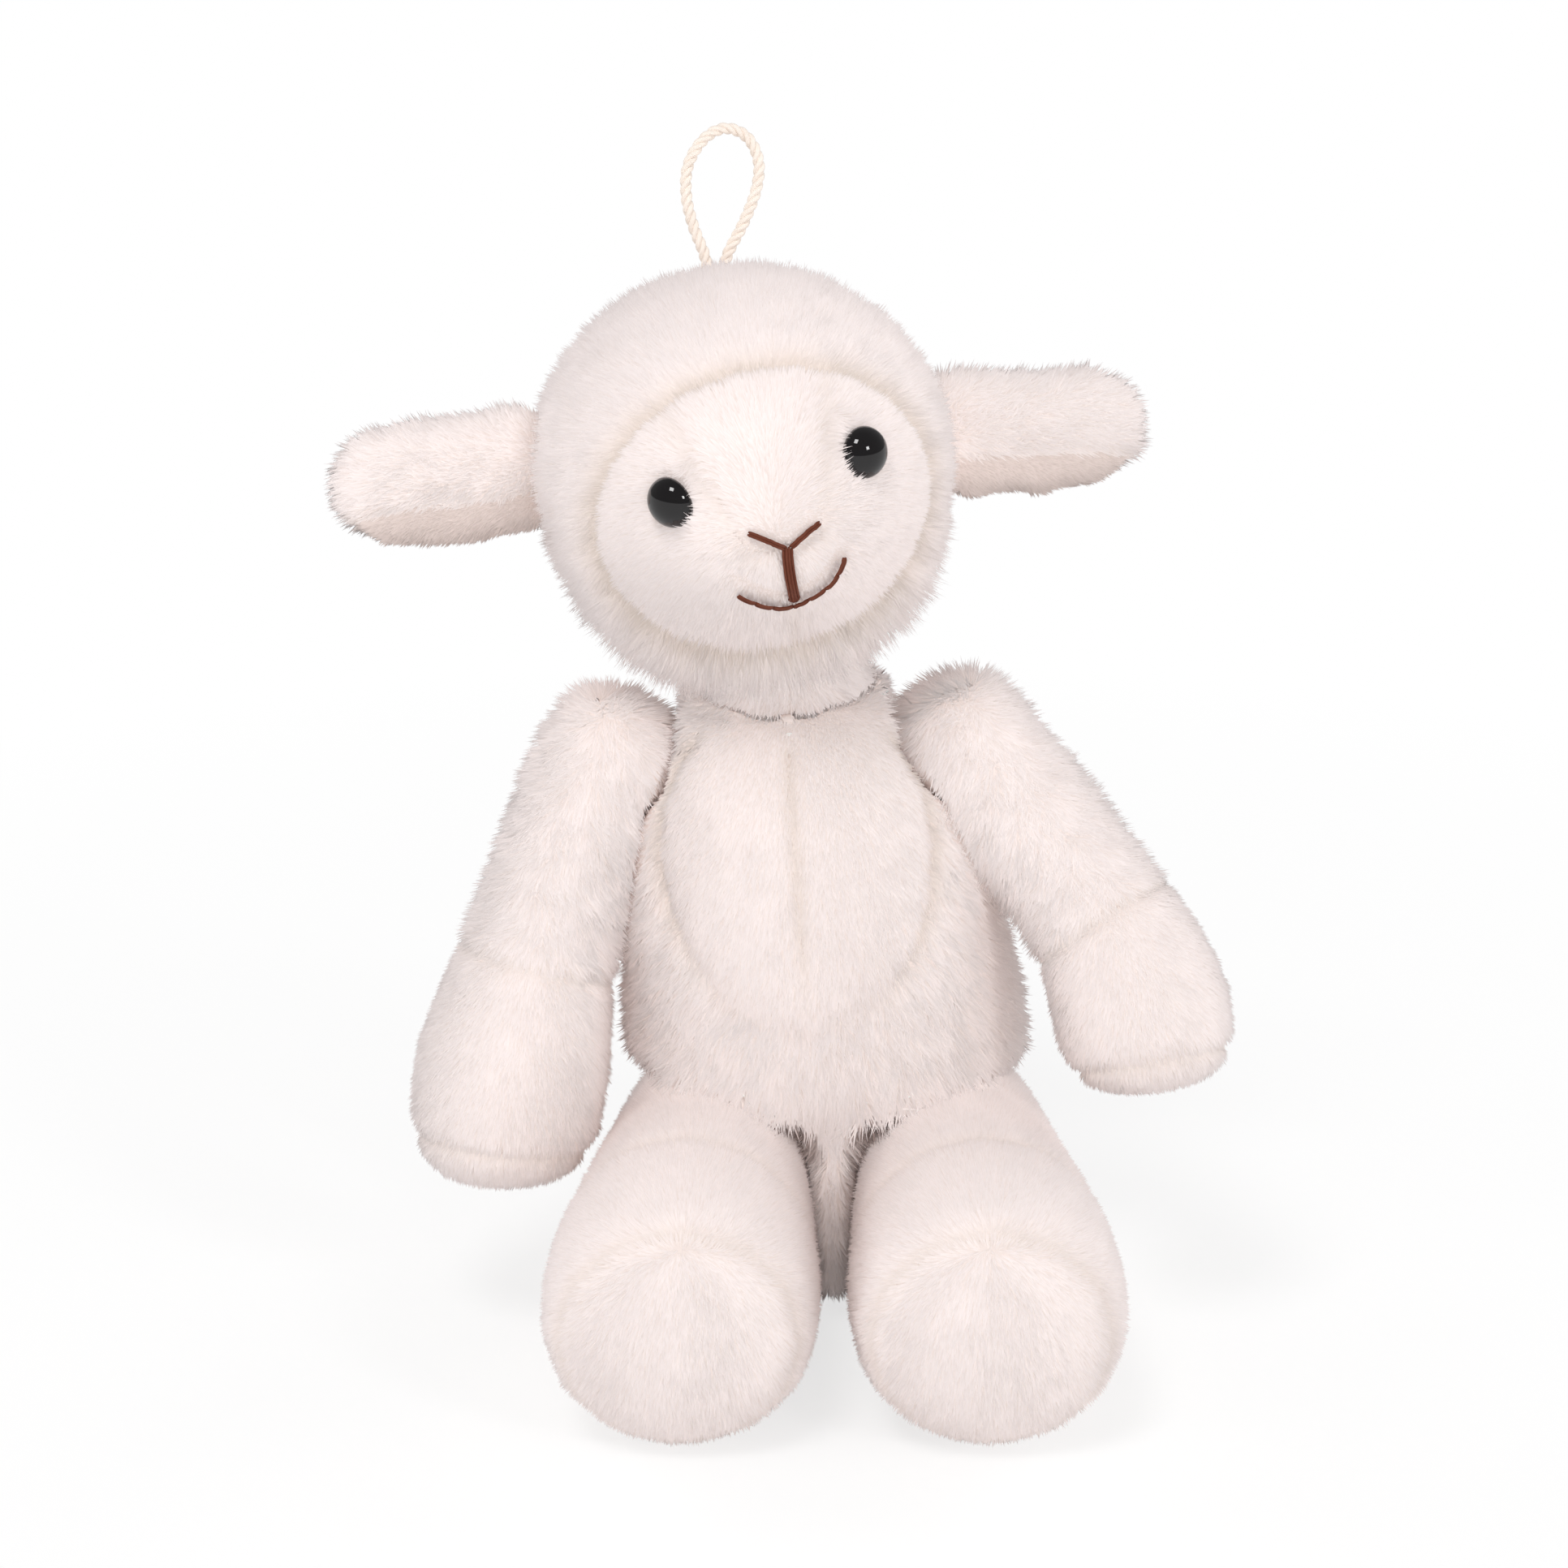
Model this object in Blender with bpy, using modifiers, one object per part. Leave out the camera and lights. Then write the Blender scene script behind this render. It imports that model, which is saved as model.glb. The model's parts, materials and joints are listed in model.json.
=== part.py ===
"""A sitting plush sheep with a hooded head, safety eyes and a hanging loop.

Metres, +Z up. The sheep faces -Y, its own left is +X, and it sits on z = 0 with the origin under its seat. Every
padded part is one soft form, a coarse cage with Subdivision Surface. Its plush cover is the space between the form and
the same form drawn in by the cloth's thickness, parted along the seams, and its filling is the form drawn in further.
Where the head, the ears and the limbs are sewn on, a rounded root sits in a hollow, so that each of them can turn.
"""
import math

import bmesh
import bpy
from mathutils import Matrix, Vector
from mathutils.bvhtree import BVHTree

MM = 0.001
UNIT = 1.0

# Cloth and clearances
CLOTH = 3.0 * MM
SEAM_GAP = 0.3 * MM
SWING_GAP = 0.6 * MM
FLOOR_CUT = 0.5 * MM
OVERRUN = 200 * MM
WELD = 0.05 * MM

# Body. Each ring of a form is (place along it, half width, half depth, lean), in shares of the sizes it follows.
TORSO_HEIGHT = 168 * MM
TORSO_WIDTH = 106 * MM
TORSO_DEPTH = 82 * MM
TORSO_LEAN = 12 * MM
TORSO_RING_SHARES = (
    (-0.03, 0.62, 0.60, 0.0),
    (0.08, 0.95, 0.92, 0.0),
    (0.30, 1.05, 1.04, 0.0),
    (0.56, 0.98, 1.00, 0.35),
    (0.80, 0.80, 0.88, 0.8),
    (0.92, 0.72, 0.73, 1.0),
    (0.985, 0.42, 0.44, 1.0),
)
BELLY_WIDTH = 70 * MM
BELLY_HEIGHT = 84 * MM
BELLY_MIDDLE_SHARE = 0.755
PELLET_DEPTH = 20 * MM

# Neck
NECK_RADIUS = 20 * MM
NECK_DROP = 4 * MM

# Head, in its own frame, with the crown at +Z and the muzzle toward -Y. The face is sewn in a little twisted.
HEAD_WIDTH = 105 * MM
HEAD_HEIGHT = 100 * MM
HEAD_DEPTH = 102 * MM
HEAD_RISE = 54 * MM
HEAD_SHIFT = 7.5 * MM
HEAD_ROLL = math.radians(-3)
HEAD_YAW = math.radians(7)
HEAD_PITCH = math.radians(-15)
FACE_TWIST = math.radians(-9)
MUZZLE_REACH = 6 * MM
MUZZLE_DROP = 15 * MM
HEAD_RING_SHARES = (
    (-0.50, 0.36, 0.36, 0.0),
    (-0.38, 0.80, 0.80, 0.0),
    (-0.10, 1.06, 1.06, 0.0),
    (0.20, 1.00, 1.00, 0.1),
    (0.40, 0.70, 0.70, 0.55),
    (0.49, 0.46, 0.42, 1.0),
    (0.56, 0.24, 0.22, 1.0),
)
FACE_WIDTH = 85 * MM
FACE_HEIGHT = 68 * MM
FACE_DROP = 9.5 * MM
BRIDGE_TOP = 48 * MM
BRIDGE_BOTTOM = 17 * MM
EYE_RADIUS = 6.2 * MM
EYE_SPREAD = 24.2 * MM
EYE_DROP = 2.5 * MM
EYE_DOME = 5 * MM
EYE_SEAT = 0.8 * MM
STEM_RADIUS = 1.8 * MM
STEM_LENGTH = 9 * MM
WASHER_RADIUS = 6.5 * MM
WASHER_DEPTH = 5 * MM
WASHER_THICKNESS = 1.4 * MM
NOSE_DROP = 18.5 * MM
NOSE_WIDTH = 17 * MM
NOSE_RISE = 3.5 * MM
NOSE_STEM = 12 * MM
MOUTH_WIDTH = 25 * MM
MOUTH_DROP = 31 * MM
MOUTH_RISE = 7 * MM
THREAD_RADIUS = 0.9 * MM
NOSE_POINTS = 9
MOUTH_POINTS = 15

# Ears. Each ring is (outward, half height, half thickness, rise), in shares of the ear's length, width and thickness.
EAR_LENGTH = 46 * MM
EAR_WIDTH = 34.5 * MM
EAR_THICKNESS = 13 * MM
EAR_RISE = 2.5 * MM
EAR_DROOP = math.radians(2)
EAR_TURN = math.radians(55)
EAR_SEAM_DROP = 7.5 * MM
EAR_ROOT_RADIUS = 7 * MM
EAR_ROOT_WIDTH = 38 * MM
EAR_RING_SHARES = (
    (-0.24, 0.98, 1.15, 0.02),
    (0.03, 0.98, 1.08, 0.02),
    (0.34, 1.00, 1.00, 0.0),
    (0.66, 1.00, 0.95, 0.02),
    (0.90, 0.80, 0.80, 0.03),
    (1.00, 0.40, 0.50, 0.03),
)

# Arms. Each ring is (outward, forward, down, radius), in shares of the arm's length and of the sleeve's radius.
ARM_LENGTH = 100 * MM
SLEEVE_RADIUS = 18.5 * MM
SHOULDER_SPREAD = 41 * MM
SHOULDER_DROP = 15 * MM
SHOULDER_TILT = 2 * MM
SHOULDER_RADIUS = 18.8 * MM
RIGHT_ARM_RING_SHARES = (
    (-0.03, -0.01, -0.16, 0.72),
    (0.01, 0.02, -0.01, 1.08),
    (0.12, 0.10, 0.24, 1.06),
    (0.20, 0.17, 0.50, 1.08),
    (0.25, 0.22, 0.72, 1.46),
    (0.295, 0.26, 0.95, 1.42),
    (0.295, 0.28, 1.08, 0.92),
)
LEFT_ARM_RING_SHARES = (
    (-0.04, -0.01, -0.15, 0.72),
    (0.00, 0.01, -0.01, 1.08),
    (0.19, 0.12, 0.20, 1.05),
    (0.37, 0.22, 0.41, 1.05),
    (0.45, 0.30, 0.57, 1.34),
    (0.49, 0.36, 0.73, 1.30),
    (0.50, 0.38, 0.82, 0.84),
)
WRIST_RING_INDEX = 3
HAND_PAD_RING_INDEX = 5
HAND_DEPTH_SHARE = 0.9

# Legs. Each ring is (outward, forward, up, half width, half height), in shares of the leg's length and radius.
LEG_LENGTH = 84 * MM
LEG_RADIUS = 29 * MM
HIP_SPREAD = 31 * MM
HIP_FORWARD = 16 * MM
HIP_RADIUS = 36 * MM
HIP_WIDTH = 51 * MM
LEG_RING_SHARES = (
    (0.00, -0.46, 0.02, 0.76, 0.90),
    (0.00, -0.30, 0.04, 0.86, 1.12),
    (0.02, 0.22, 0.07, 1.00, 1.22),
    (0.05, 0.50, 0.06, 1.18, 1.21),
    (0.07, 0.76, 0.04, 1.24, 1.23),
    (0.07, 0.98, 0.03, 1.21, 1.19),
    (0.07, 1.08, 0.02, 0.78, 0.78),
)
ANKLE_RING_INDEX = 3
SOLE_RING_INDEX = 5

# Hanging loop, each point (across, up) in shares of its height from its sewn ends, chosen by hand
LOOP_ACROSS = -2 * MM
LOOP_BACK = 4 * MM
LOOP_DEPTH = 1.8 * MM
LOOP_HEIGHT = 34 * MM
LOOP_RADIUS = 1.4 * MM
LOOP_POINT_SHARES = (
    (-0.05, 0.00),
    (-0.07, 0.14),
    (-0.13, 0.34),
    (-0.16, 0.55),
    (-0.13, 0.76),
    (-0.01, 0.93),
    (0.15, 1.00),
    (0.30, 0.93),
    (0.37, 0.76),
    (0.34, 0.56),
    (0.23, 0.33),
    (0.11, 0.14),
    (0.05, 0.00),
)
LOOP_STEPS = 2

# How finely the forms are made
BODY_SIDES = 8
LIMB_SIDES = 6
EAR_SIDES = 6
ROUND_SIDES = 20
EYE_SIDES = 14
EYE_RINGS = 5
SMOOTH_LEVELS = 1

# Colours, linear, of the cloth, the thread and the inner parts
PLUSH = (0.83, 0.78, 0.76)
LINING = (0.80, 0.75, 0.72)
FIBRE = (0.86, 0.86, 0.84)
PELLETS = (0.60, 0.62, 0.66)
BLACK = (0.012, 0.011, 0.012)
BROWN = (0.10, 0.03, 0.02)
CORD = (0.80, 0.70, 0.62)
WHITE_NYLON = (0.75, 0.75, 0.73)

X, Y, Z = Vector((1, 0, 0)), Vector((0, 1, 0)), Vector((0, 0, 1))
SIDES = {"left": 1, "right": -1}
TWIST = Matrix.Rotation(FACE_TWIST, 4, "Y")


def clear_scene():
    for thing in list(bpy.data.objects):
        bpy.data.objects.remove(thing, do_unlink=True)


def collection(name):
    made = bpy.data.collections.new(name)
    bpy.context.scene.collection.children.link(made)
    return made


def finish(name, colour, roughness):
    """A plain material, for the pieces of one kind."""
    made = bpy.data.materials.new(name)
    made.use_nodes = True
    shader = made.node_tree.nodes["Principled BSDF"]
    shader.inputs["Base Color"].default_value = (*colour, 1)
    shader.inputs["Roughness"].default_value = roughness
    return made


def piece(name, mesh, pivot, material=None):
    """A part on its pivot, or a cutter where no material is given."""
    made = bpy.data.objects.new(name, mesh)
    made.parent = pivot
    if material is None:
        CUTTERS.objects.link(made)
        made.hide_render = True
        made.display_type = "WIRE"
        return made
    PARTS.objects.link(made)
    if not mesh.materials:
        mesh.materials.append(None)
    made.material_slots[0].link = "OBJECT"
    made.material_slots[0].material = material
    return made


def pivot_at(name, place, parent=None, turn=None):
    """An empty on a joint's axis, or on the centre of several parts."""
    made = bpy.data.objects.new(name, None)
    made.empty_display_size = SLEEVE_RADIUS
    made.parent = parent
    made.matrix_local = Matrix.Translation(place) @ (turn or Matrix.Identity(4))
    PARTS.objects.link(made)
    return made


def mesh_of(name, tool):
    """A mesh from a bmesh, smooth all over."""
    bmesh.ops.recalc_face_normals(tool, faces=tool.faces)
    for face in tool.faces:
        face.smooth = True
    made = bpy.data.meshes.new(name)
    tool.to_mesh(made)
    tool.free()
    return made


def cage(name, rings, reference, sides):
    """A closed cage through rings of (centre, half across, half along the reference), for subdivision."""
    tool = bmesh.new()
    spread = 1 / math.cos(math.pi / sides)
    rows = []
    for i, (centre, across, along) in enumerate(rings):
        ahead = rings[min(i + 1, len(rings) - 1)][0] - rings[max(i - 1, 0)][0]
        side = reference.cross(ahead).normalized() * across * spread
        front = ahead.cross(side).normalized() * along * spread
        turns = [2 * math.pi * (k + 0.5) / sides for k in range(sides)]
        rows.append([tool.verts.new(centre + side * math.cos(t) + front * math.sin(t)) for t in turns])
    for low, high in zip(rows, rows[1:]):
        for k in range(sides):
            tool.faces.new((low[k], low[k - 1], high[k - 1], high[k]))
    tool.faces.new(rows[0])
    tool.faces.new(rows[-1])
    return mesh_of(name, tool)


def soft(name, shape, pivot, drawn_in, material=None):
    """A soft form on its cage, drawn in along its own normals, in triangles so that it is cut cleanly."""
    made = piece(name, shape, pivot, material)
    smooth = made.modifiers.new("smooth", "SUBSURF")
    smooth.levels = smooth.render_levels = SMOOTH_LEVELS
    if drawn_in:
        inward = made.modifiers.new("draw_in", "DISPLACE")
        inward.mid_level = 0
        inward.strength = -drawn_in
    facets = made.modifiers.new("facets", "TRIANGULATE")
    facets.quad_method = "FIXED"
    return made


def soft_copy(made, name):
    """Another cutter of the same form."""
    copy = made.copy()
    copy.name = name
    CUTTERS.objects.link(copy)
    return copy


def evaluated(made):
    """The finished mesh of an object as a BVH tree in its own frame, and its points."""
    bpy.context.view_layer.update()
    graph = bpy.context.evaluated_depsgraph_get()
    mesh = made.evaluated_get(graph).to_mesh()
    points = [v.co.copy() for v in mesh.vertices]
    tree = BVHTree.FromPolygons(points, [tuple(p.vertices) for p in mesh.polygons])
    made.evaluated_get(graph).to_mesh_clear()
    return tree, points


def cut(made, operation, *tools):
    for tool in tools:
        step = made.modifiers.new(operation.lower(), "BOOLEAN")
        step.operation = operation
        step.object = tool
    return made


def less(made, *tools):
    return cut(made, "DIFFERENCE", *tools)


def within(made, *tools):
    return cut(made, "INTERSECT", *tools)


def block(name, low, high, pivot=None, turn=None):
    """A box cutter between two corners, turned about its pivot."""
    tool = bmesh.new()
    size = Vector(high) - Vector(low)
    middle = (Vector(high) + Vector(low)) / 2
    place = (turn or Matrix.Identity(4)) @ Matrix.Translation(middle) @ Matrix.Diagonal((*size, 1))
    bmesh.ops.create_cube(tool, size=UNIT, matrix=place)
    made = piece(name, mesh_of(name, tool), pivot)
    made.data.shade_flat()
    return made


def beyond(name, place, direction, pivot=None):
    """A box cutter that takes all that lies past a plane."""
    turn = Matrix.Translation(place) @ direction.to_track_quat("Z", "X").to_matrix().to_4x4()
    return block(name, (-OVERRUN, -OVERRUN, 0), (OVERRUN, OVERRUN, OVERRUN), pivot, turn)


def halves(name, pivot):
    """Two cutters that leave a seam's gap between the left and the right of a pivot."""
    return {side: beyond(name + "_" + side, X * sign * SEAM_GAP / 2, X * sign, pivot) for side, sign in SIDES.items()}


def ball(name, radius, pivot, material=None):
    tool = bmesh.new()
    bmesh.ops.create_uvsphere(tool, u_segments=ROUND_SIDES, v_segments=ROUND_SIDES // 2, radius=radius)
    return piece(name, mesh_of(name, tool), pivot, material)


def drum(name, radii, length, place, direction, pivot, sides=ROUND_SIDES):
    """A cylinder cutter about a direction, with its two radii across it."""
    tool = bmesh.new()
    bmesh.ops.create_cone(tool, cap_ends=True, segments=sides, radius1=UNIT, radius2=UNIT, depth=length)
    turn = Matrix.Translation(place) @ direction.to_track_quat("Z", "Y").to_matrix().to_4x4()
    bmesh.ops.transform(tool, matrix=turn @ Matrix.Diagonal((*radii, 1, 1)), verts=tool.verts)
    return piece(name, mesh_of(name, tool), pivot)


def wedge(name, grow, pivot):
    """The outline of the panel between the eyes, wide at the forehead and narrow at the nose."""
    tool = bmesh.new()
    bmesh.ops.create_cube(tool, size=UNIT)
    for corner in tool.verts:
        upper = corner.co.z > 0
        half = (BRIDGE_TOP if upper else BRIDGE_BOTTOM) / 2 + grow
        corner.co.x = math.copysign(half, corner.co.x)
        corner.co.z = FACE_HEIGHT / 2 + grow if upper else -NOSE_DROP - grow
        corner.co.y = 0 if corner.co.y > 0 else -OVERRUN
    made = piece(name, mesh_of(name, tool), pivot)
    made.data.shade_flat()
    return made


def turned(name, outline, sides, pivot, frame, material):
    """A shape turned about its own Z from an outline of (radius, height), closed where it is a ring."""
    mesh = bpy.data.meshes.new(name)
    edges = [(i, i + 1) for i in range(len(outline) - 1)]
    if outline[0][0] > 0:
        edges.append((len(outline) - 1, 0))
    mesh.from_pydata([(radius, 0, height) for radius, height in outline], edges, [])
    made = piece(name, mesh, pivot, material)
    made.matrix_local = frame
    spin = made.modifiers.new("turn", "SCREW")
    spin.steps = spin.render_steps = sides
    spin.use_merge_vertices = True
    spin.merge_threshold = WELD
    return made


def tube(name, points, radius, pivot, material):
    """A round thread or cord through its points, as a mesh with welded caps."""
    curve = bpy.data.curves.new(name, "CURVE")
    curve.dimensions = "3D"
    curve.bevel_depth = radius
    curve.bevel_resolution = 1
    curve.use_fill_caps = True
    line = curve.splines.new("POLY")
    line.points.add(len(points) - 1)
    for spot, place in zip(line.points, points):
        spot.co = (*place, 1)
    guide = bpy.data.objects.new(name + "_guide", curve)
    CUTTERS.objects.link(guide)
    bpy.context.view_layer.update()
    mesh = bpy.data.meshes.new_from_object(guide.evaluated_get(bpy.context.evaluated_depsgraph_get()))
    bpy.data.objects.remove(guide)
    tool = bmesh.new()
    tool.from_mesh(mesh)
    bmesh.ops.remove_doubles(tool, verts=tool.verts, dist=WELD)
    bpy.data.meshes.remove(mesh)
    return piece(name, mesh_of(name, tool), pivot, material)


def smooth_route(points, steps):
    """Points on a smooth curve through the route's own points."""
    route = []
    for i in range(len(points) - 1):
        before, a, b, after = (points[max(0, min(j, len(points) - 1))] for j in range(i - 1, i + 3))
        for k in range(steps):
            t = k / steps
            bend = (2 * a + (b - before) * t + (2 * before - 5 * a + 4 * b - after) * t**2) / 2
            route.append(bend + (3 * a - 3 * b + after - before) * t**3 / 2)
    return route + [points[-1]]


def torso_centre(height_share, lean_share):
    return Vector((-TORSO_LEAN * lean_share, 0, TORSO_HEIGHT * height_share))


def lift_to_floor(shape, pivot):
    """Moves a pivot so that the soft form on it reaches just below the floor, where it is cut flat."""
    probe = soft("probe", shape, None, 0)
    low = min(point.z for point in evaluated(probe)[1])
    bpy.data.objects.remove(probe)
    pivot.location.z = -low - FLOOR_CUT


def cover(name, shape, pivot, inside, material):
    """A plush cover: a form less its own inside."""
    return less(soft(name, shape, pivot, 0, material), inside)


def hip_drum(name, grow, pivot):
    reach = HIP_RADIUS + grow
    return drum(name, (reach, reach), HIP_WIDTH + 2 * grow, Vector(), X, pivot)


def make_sockets(pivots):
    """The hollows that the neck, the arms and the legs leave in the body, by the limb they are for."""
    sockets = {"neck": ball("neck_hollow", NECK_RADIUS + SWING_GAP, pivots["neck"])}
    for side in SIDES:
        arm, leg = "arm_" + side, "leg_" + side
        sockets[arm] = ball("shoulder_hollow_" + side, SHOULDER_RADIUS + SWING_GAP, pivots[arm])
        sockets[leg] = hip_drum("hip_hollow_" + side, SWING_GAP, pivots[leg])
    return sockets


def make_torso(pivots):
    """The body's cover, belly panels and fillings. Returns the room that it takes up."""
    rings = [
        (torso_centre(up, lean), TORSO_WIDTH / 2 * across, TORSO_DEPTH / 2 * deep)
        for up, across, deep, lean in TORSO_RING_SHARES
    ]
    shape = cage("torso_cage", rings, Y, BODY_SIDES)
    seat = pivots["seat"]
    lift_to_floor(shape, seat)
    inside = soft("torso_inside", shape, seat, CLOTH)
    floor = beyond("under_floor", Vector(), -Z)
    sockets = make_sockets(pivots)
    middle = torso_centre(BELLY_MIDDLE_SHARE, BELLY_MIDDLE_SHARE)
    lean = Matrix.Rotation(-math.atan2(TORSO_LEAN, TORSO_HEIGHT), 4, "Y")
    belly = pivot_at("belly_middle", middle, None, lean)
    ahead = -Y * OVERRUN / 2
    radii = BELLY_WIDTH / 2, BELLY_HEIGHT / 2
    opening = drum("belly_opening", radii, OVERRUN, ahead, Y, belly)
    outline = drum("belly_outline", [radius - SEAM_GAP for radius in radii], OVERRUN, ahead, Y, belly)
    less(cover("body_shell", shape, seat, inside, LONG_PILE), floor, opening, *sockets.values())
    upper = [sockets["neck"]] + [sockets["arm_" + side] for side in SIDES]
    for side, half in halves("belly_half", belly).items():
        less(within(cover("belly_" + side, shape, seat, inside, SHORT_PILE), half, outline), *upper)
    above = beyond("above_pellets", Z * PELLET_DEPTH, Z)
    below = beyond("below_pellets", Z * (PELLET_DEPTH - SEAM_GAP), -Z)
    filling = CLOTH + SEAM_GAP
    less(within(soft("torso_stuffing", shape, seat, filling, STUFFING), above), *sockets.values())
    hips = [sockets["leg_" + side] for side in SIDES]
    less(within(soft("seat_pellets", shape, seat, filling, PELLET_BAG), below), *hips)
    return soft("torso_round", shape, seat, -SEAM_GAP)


def head_rings():
    for forward, across, tall, drop in HEAD_RING_SHARES:
        reach = HEAD_DEPTH * forward + MUZZLE_REACH * drop
        centre = TWIST @ Vector((0, -reach, -MUZZLE_DROP * drop))
        yield centre, HEAD_WIDTH / 2 * across, HEAD_HEIGHT / 2 * tall


def make_head(pivots):
    """The head's covers, face and filling. Returns the room that it takes up."""
    head = pivots["head"]
    shape = cage("head_cage", list(head_rings()), Z, BODY_SIDES)
    inside = soft("head_inside", shape, head, CLOTH)
    skin = evaluated(soft("head_outside", shape, head, 0))[0]
    neck = ball("neck_hollow_in_head", NECK_RADIUS + SWING_GAP, pivots["neck"])
    ears = [ear_drum("ear_hollow_" + side, SWING_GAP, pivots["ear_" + side]) for side in SIDES]
    face = pivot_at("face_middle", Vector(), head, TWIST)
    ahead = Vector((0, -OVERRUN / 2, -FACE_DROP))
    radii = FACE_WIDTH / 2, FACE_HEIGHT / 2
    opening = drum("face_opening", radii, OVERRUN, ahead, Y, face)
    outline = drum("face_outline", [radius - SEAM_GAP for radius in radii], OVERRUN, ahead, Y, face)
    hood = less(cover("hood", shape, head, inside, LONG_PILE), opening, neck, *ears)
    bridge = wedge("bridge_outline", 0, face)
    within(cover("forehead_nose_panel", shape, head, inside, SHORT_PILE), outline, bridge)
    bridge_gap = wedge("bridge_gap", SEAM_GAP, face)
    pockets = []
    for side, half in halves("cheek_half", face).items():
        cheek = within(cover("cheek_" + side, shape, head, inside, SHORT_PILE), half, outline)
        less(cheek, bridge_gap)
        pockets += make_eye(side, skin, cheek, head)
    less(soft("head_stuffing", shape, head, CLOTH + SEAM_GAP, STUFFING), neck, *ears, *pockets)
    make_stitching(skin, head)
    make_loop(skin, hood, head)
    return soft("head_round", shape, head, -SEAM_GAP)


def on_face(skin, x, z, away=0):
    """A point over the skin, seen from in front of the face, and the skin's normal there."""
    start = TWIST @ Vector((x, 0, z))
    place, normal, _, _ = skin.ray_cast(start - Y * OVERRUN, Y)
    return place + normal * away, normal


def make_eye(side, skin, cheek, head):
    """A domed safety eye, its washer, and the hollows that they need. Returns those in the filling."""
    place, normal = on_face(skin, SIDES[side] * EYE_SPREAD, -EYE_DROP)
    frame = Matrix.Translation(place) @ normal.to_track_quat("Z", "Y").to_matrix().to_4x4()
    seat = -EYE_SEAT
    tilts = [math.radians(90) * i / EYE_RINGS for i in range(EYE_RINGS + 1)]
    dome = [(EYE_RADIUS * math.sin(t), seat + EYE_DOME * math.cos(t)) for t in tilts]
    stem = [(STEM_RADIUS, seat), (STEM_RADIUS, seat - STEM_LENGTH), (0, seat - STEM_LENGTH)]
    turned("eye_" + side, dome + stem, EYE_SIDES, head, frame, GLOSS_BLACK)
    axis = pivot_at("eye_axis_" + side, Vector(), head, frame)
    recess = EYE_RADIUS + SEAM_GAP
    hole = STEM_RADIUS + SEAM_GAP
    down = Z * (seat - SEAM_GAP)
    bore = drum("eye_bore_" + side, (hole, hole), 2 * (STEM_LENGTH + SEAM_GAP), down, Z, axis, EYE_SIDES)
    room = drum("eye_seat_" + side, (recess, recess), EYE_DOME, down + Z * EYE_DOME / 2, Z, axis, EYE_SIDES)
    less(cheek, bore, room)
    low = -WASHER_DEPTH - WASHER_THICKNESS
    outline = [(hole, -WASHER_DEPTH), (WASHER_RADIUS, -WASHER_DEPTH), (WASHER_RADIUS, low), (hole, low)]
    turned("eye_washer_" + side, outline, EYE_SIDES, head, frame, NYLON)
    wide = WASHER_RADIUS + SEAM_GAP
    middle = Z * (low - SEAM_GAP + OVERRUN / 2)
    return [bore, drum("washer_pocket_" + side, (wide, wide), OVERRUN, middle, Z, axis, EYE_SIDES)]


def make_stitching(skin, head):
    """The brown nose and mouth, as threads that lie on the cloth."""
    away = THREAD_RADIUS + SEAM_GAP
    steps = [i / (NOSE_POINTS - 1) for i in range(NOSE_POINTS)]
    wings = [on_face(skin, NOSE_WIDTH * (t - 0.5), -NOSE_DROP + NOSE_RISE * abs(2 * t - 1), away)[0] for t in steps]
    stem = [on_face(skin, 0, -NOSE_DROP - NOSE_STEM * t, away)[0] for t in steps]
    post = tube("nose_post", stem, THREAD_RADIUS, head, None)
    cut(tube("nose_stitching", wings, THREAD_RADIUS, head, THREAD), "UNION", post)
    steps = [2 * i / (MOUTH_POINTS - 1) - 1 for i in range(MOUTH_POINTS)]
    smile = [on_face(skin, MOUTH_WIDTH / 2 * t, -MOUTH_DROP + MOUTH_RISE * t * t, away)[0] for t in steps]
    tube("mouth_stitching", smile, THREAD_RADIUS, head, THREAD)


def make_loop(skin, hood, head):
    """The hanging loop, a cord whose two ends are sewn into a slit in the crown."""
    crown = skin.ray_cast(Vector((LOOP_ACROSS, LOOP_BACK, OVERRUN)), -Z)[0]
    root = crown - Z * LOOP_DEPTH
    points = [root + (X * across + Z * up) * LOOP_HEIGHT for across, up in LOOP_POINT_SHARES]
    tube("hanging_loop", smooth_route(points, LOOP_STEPS), LOOP_RADIUS, head, CORD_FINISH)
    deep = LOOP_RADIUS + SEAM_GAP
    half = LOOP_HEIGHT * LOOP_POINT_SHARES[-1][0]
    slit = drum("loop_slit", (half + 2 * deep, 2 * deep), 2 * (LOOP_DEPTH + 2 * SEAM_GAP), crown, Z, head)
    less(hood, slit)


def ear_drum(name, grow, pivot):
    reach = EAR_ROOT_RADIUS + grow
    return drum(name, (reach, reach), EAR_ROOT_WIDTH + 2 * grow, Vector(), Z, pivot)


def make_ear(side, pivots, head_round):
    """An ear with its lining along its lower front, on an upright hinge at the side of the head."""
    pivot = pivots["ear_" + side]
    rings = []
    for out, tall, thick, rise in EAR_RING_SHARES:
        centre = (X * SIDES[side] * out + Z * rise) * EAR_LENGTH
        rings.append((centre, EAR_THICKNESS / 2 * thick, EAR_WIDTH / 2 * tall))
    shape = cage("ear_cage_" + side, rings, Z, EAR_SIDES)
    around = less(soft_copy(head_round, "head_at_ear_" + side), ear_drum("ear_root_" + side, 0, pivot))
    across = Matrix.Rotation(EAR_TURN, 4, "X") @ Y
    seam = -across * EAR_SEAM_DROP
    under = beyond("ear_under_" + side, seam - across * SEAM_GAP / 2, -across, pivot)
    over = beyond("ear_over_" + side, seam + across * SEAM_GAP / 2, across, pivot)
    less(within(soft("ear_" + side, shape, pivot, 0, LONG_PILE), over), around)
    less(within(soft("ear_" + side + "_lining", shape, pivot, 0, LINING_CLOTH), under), around)


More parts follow.
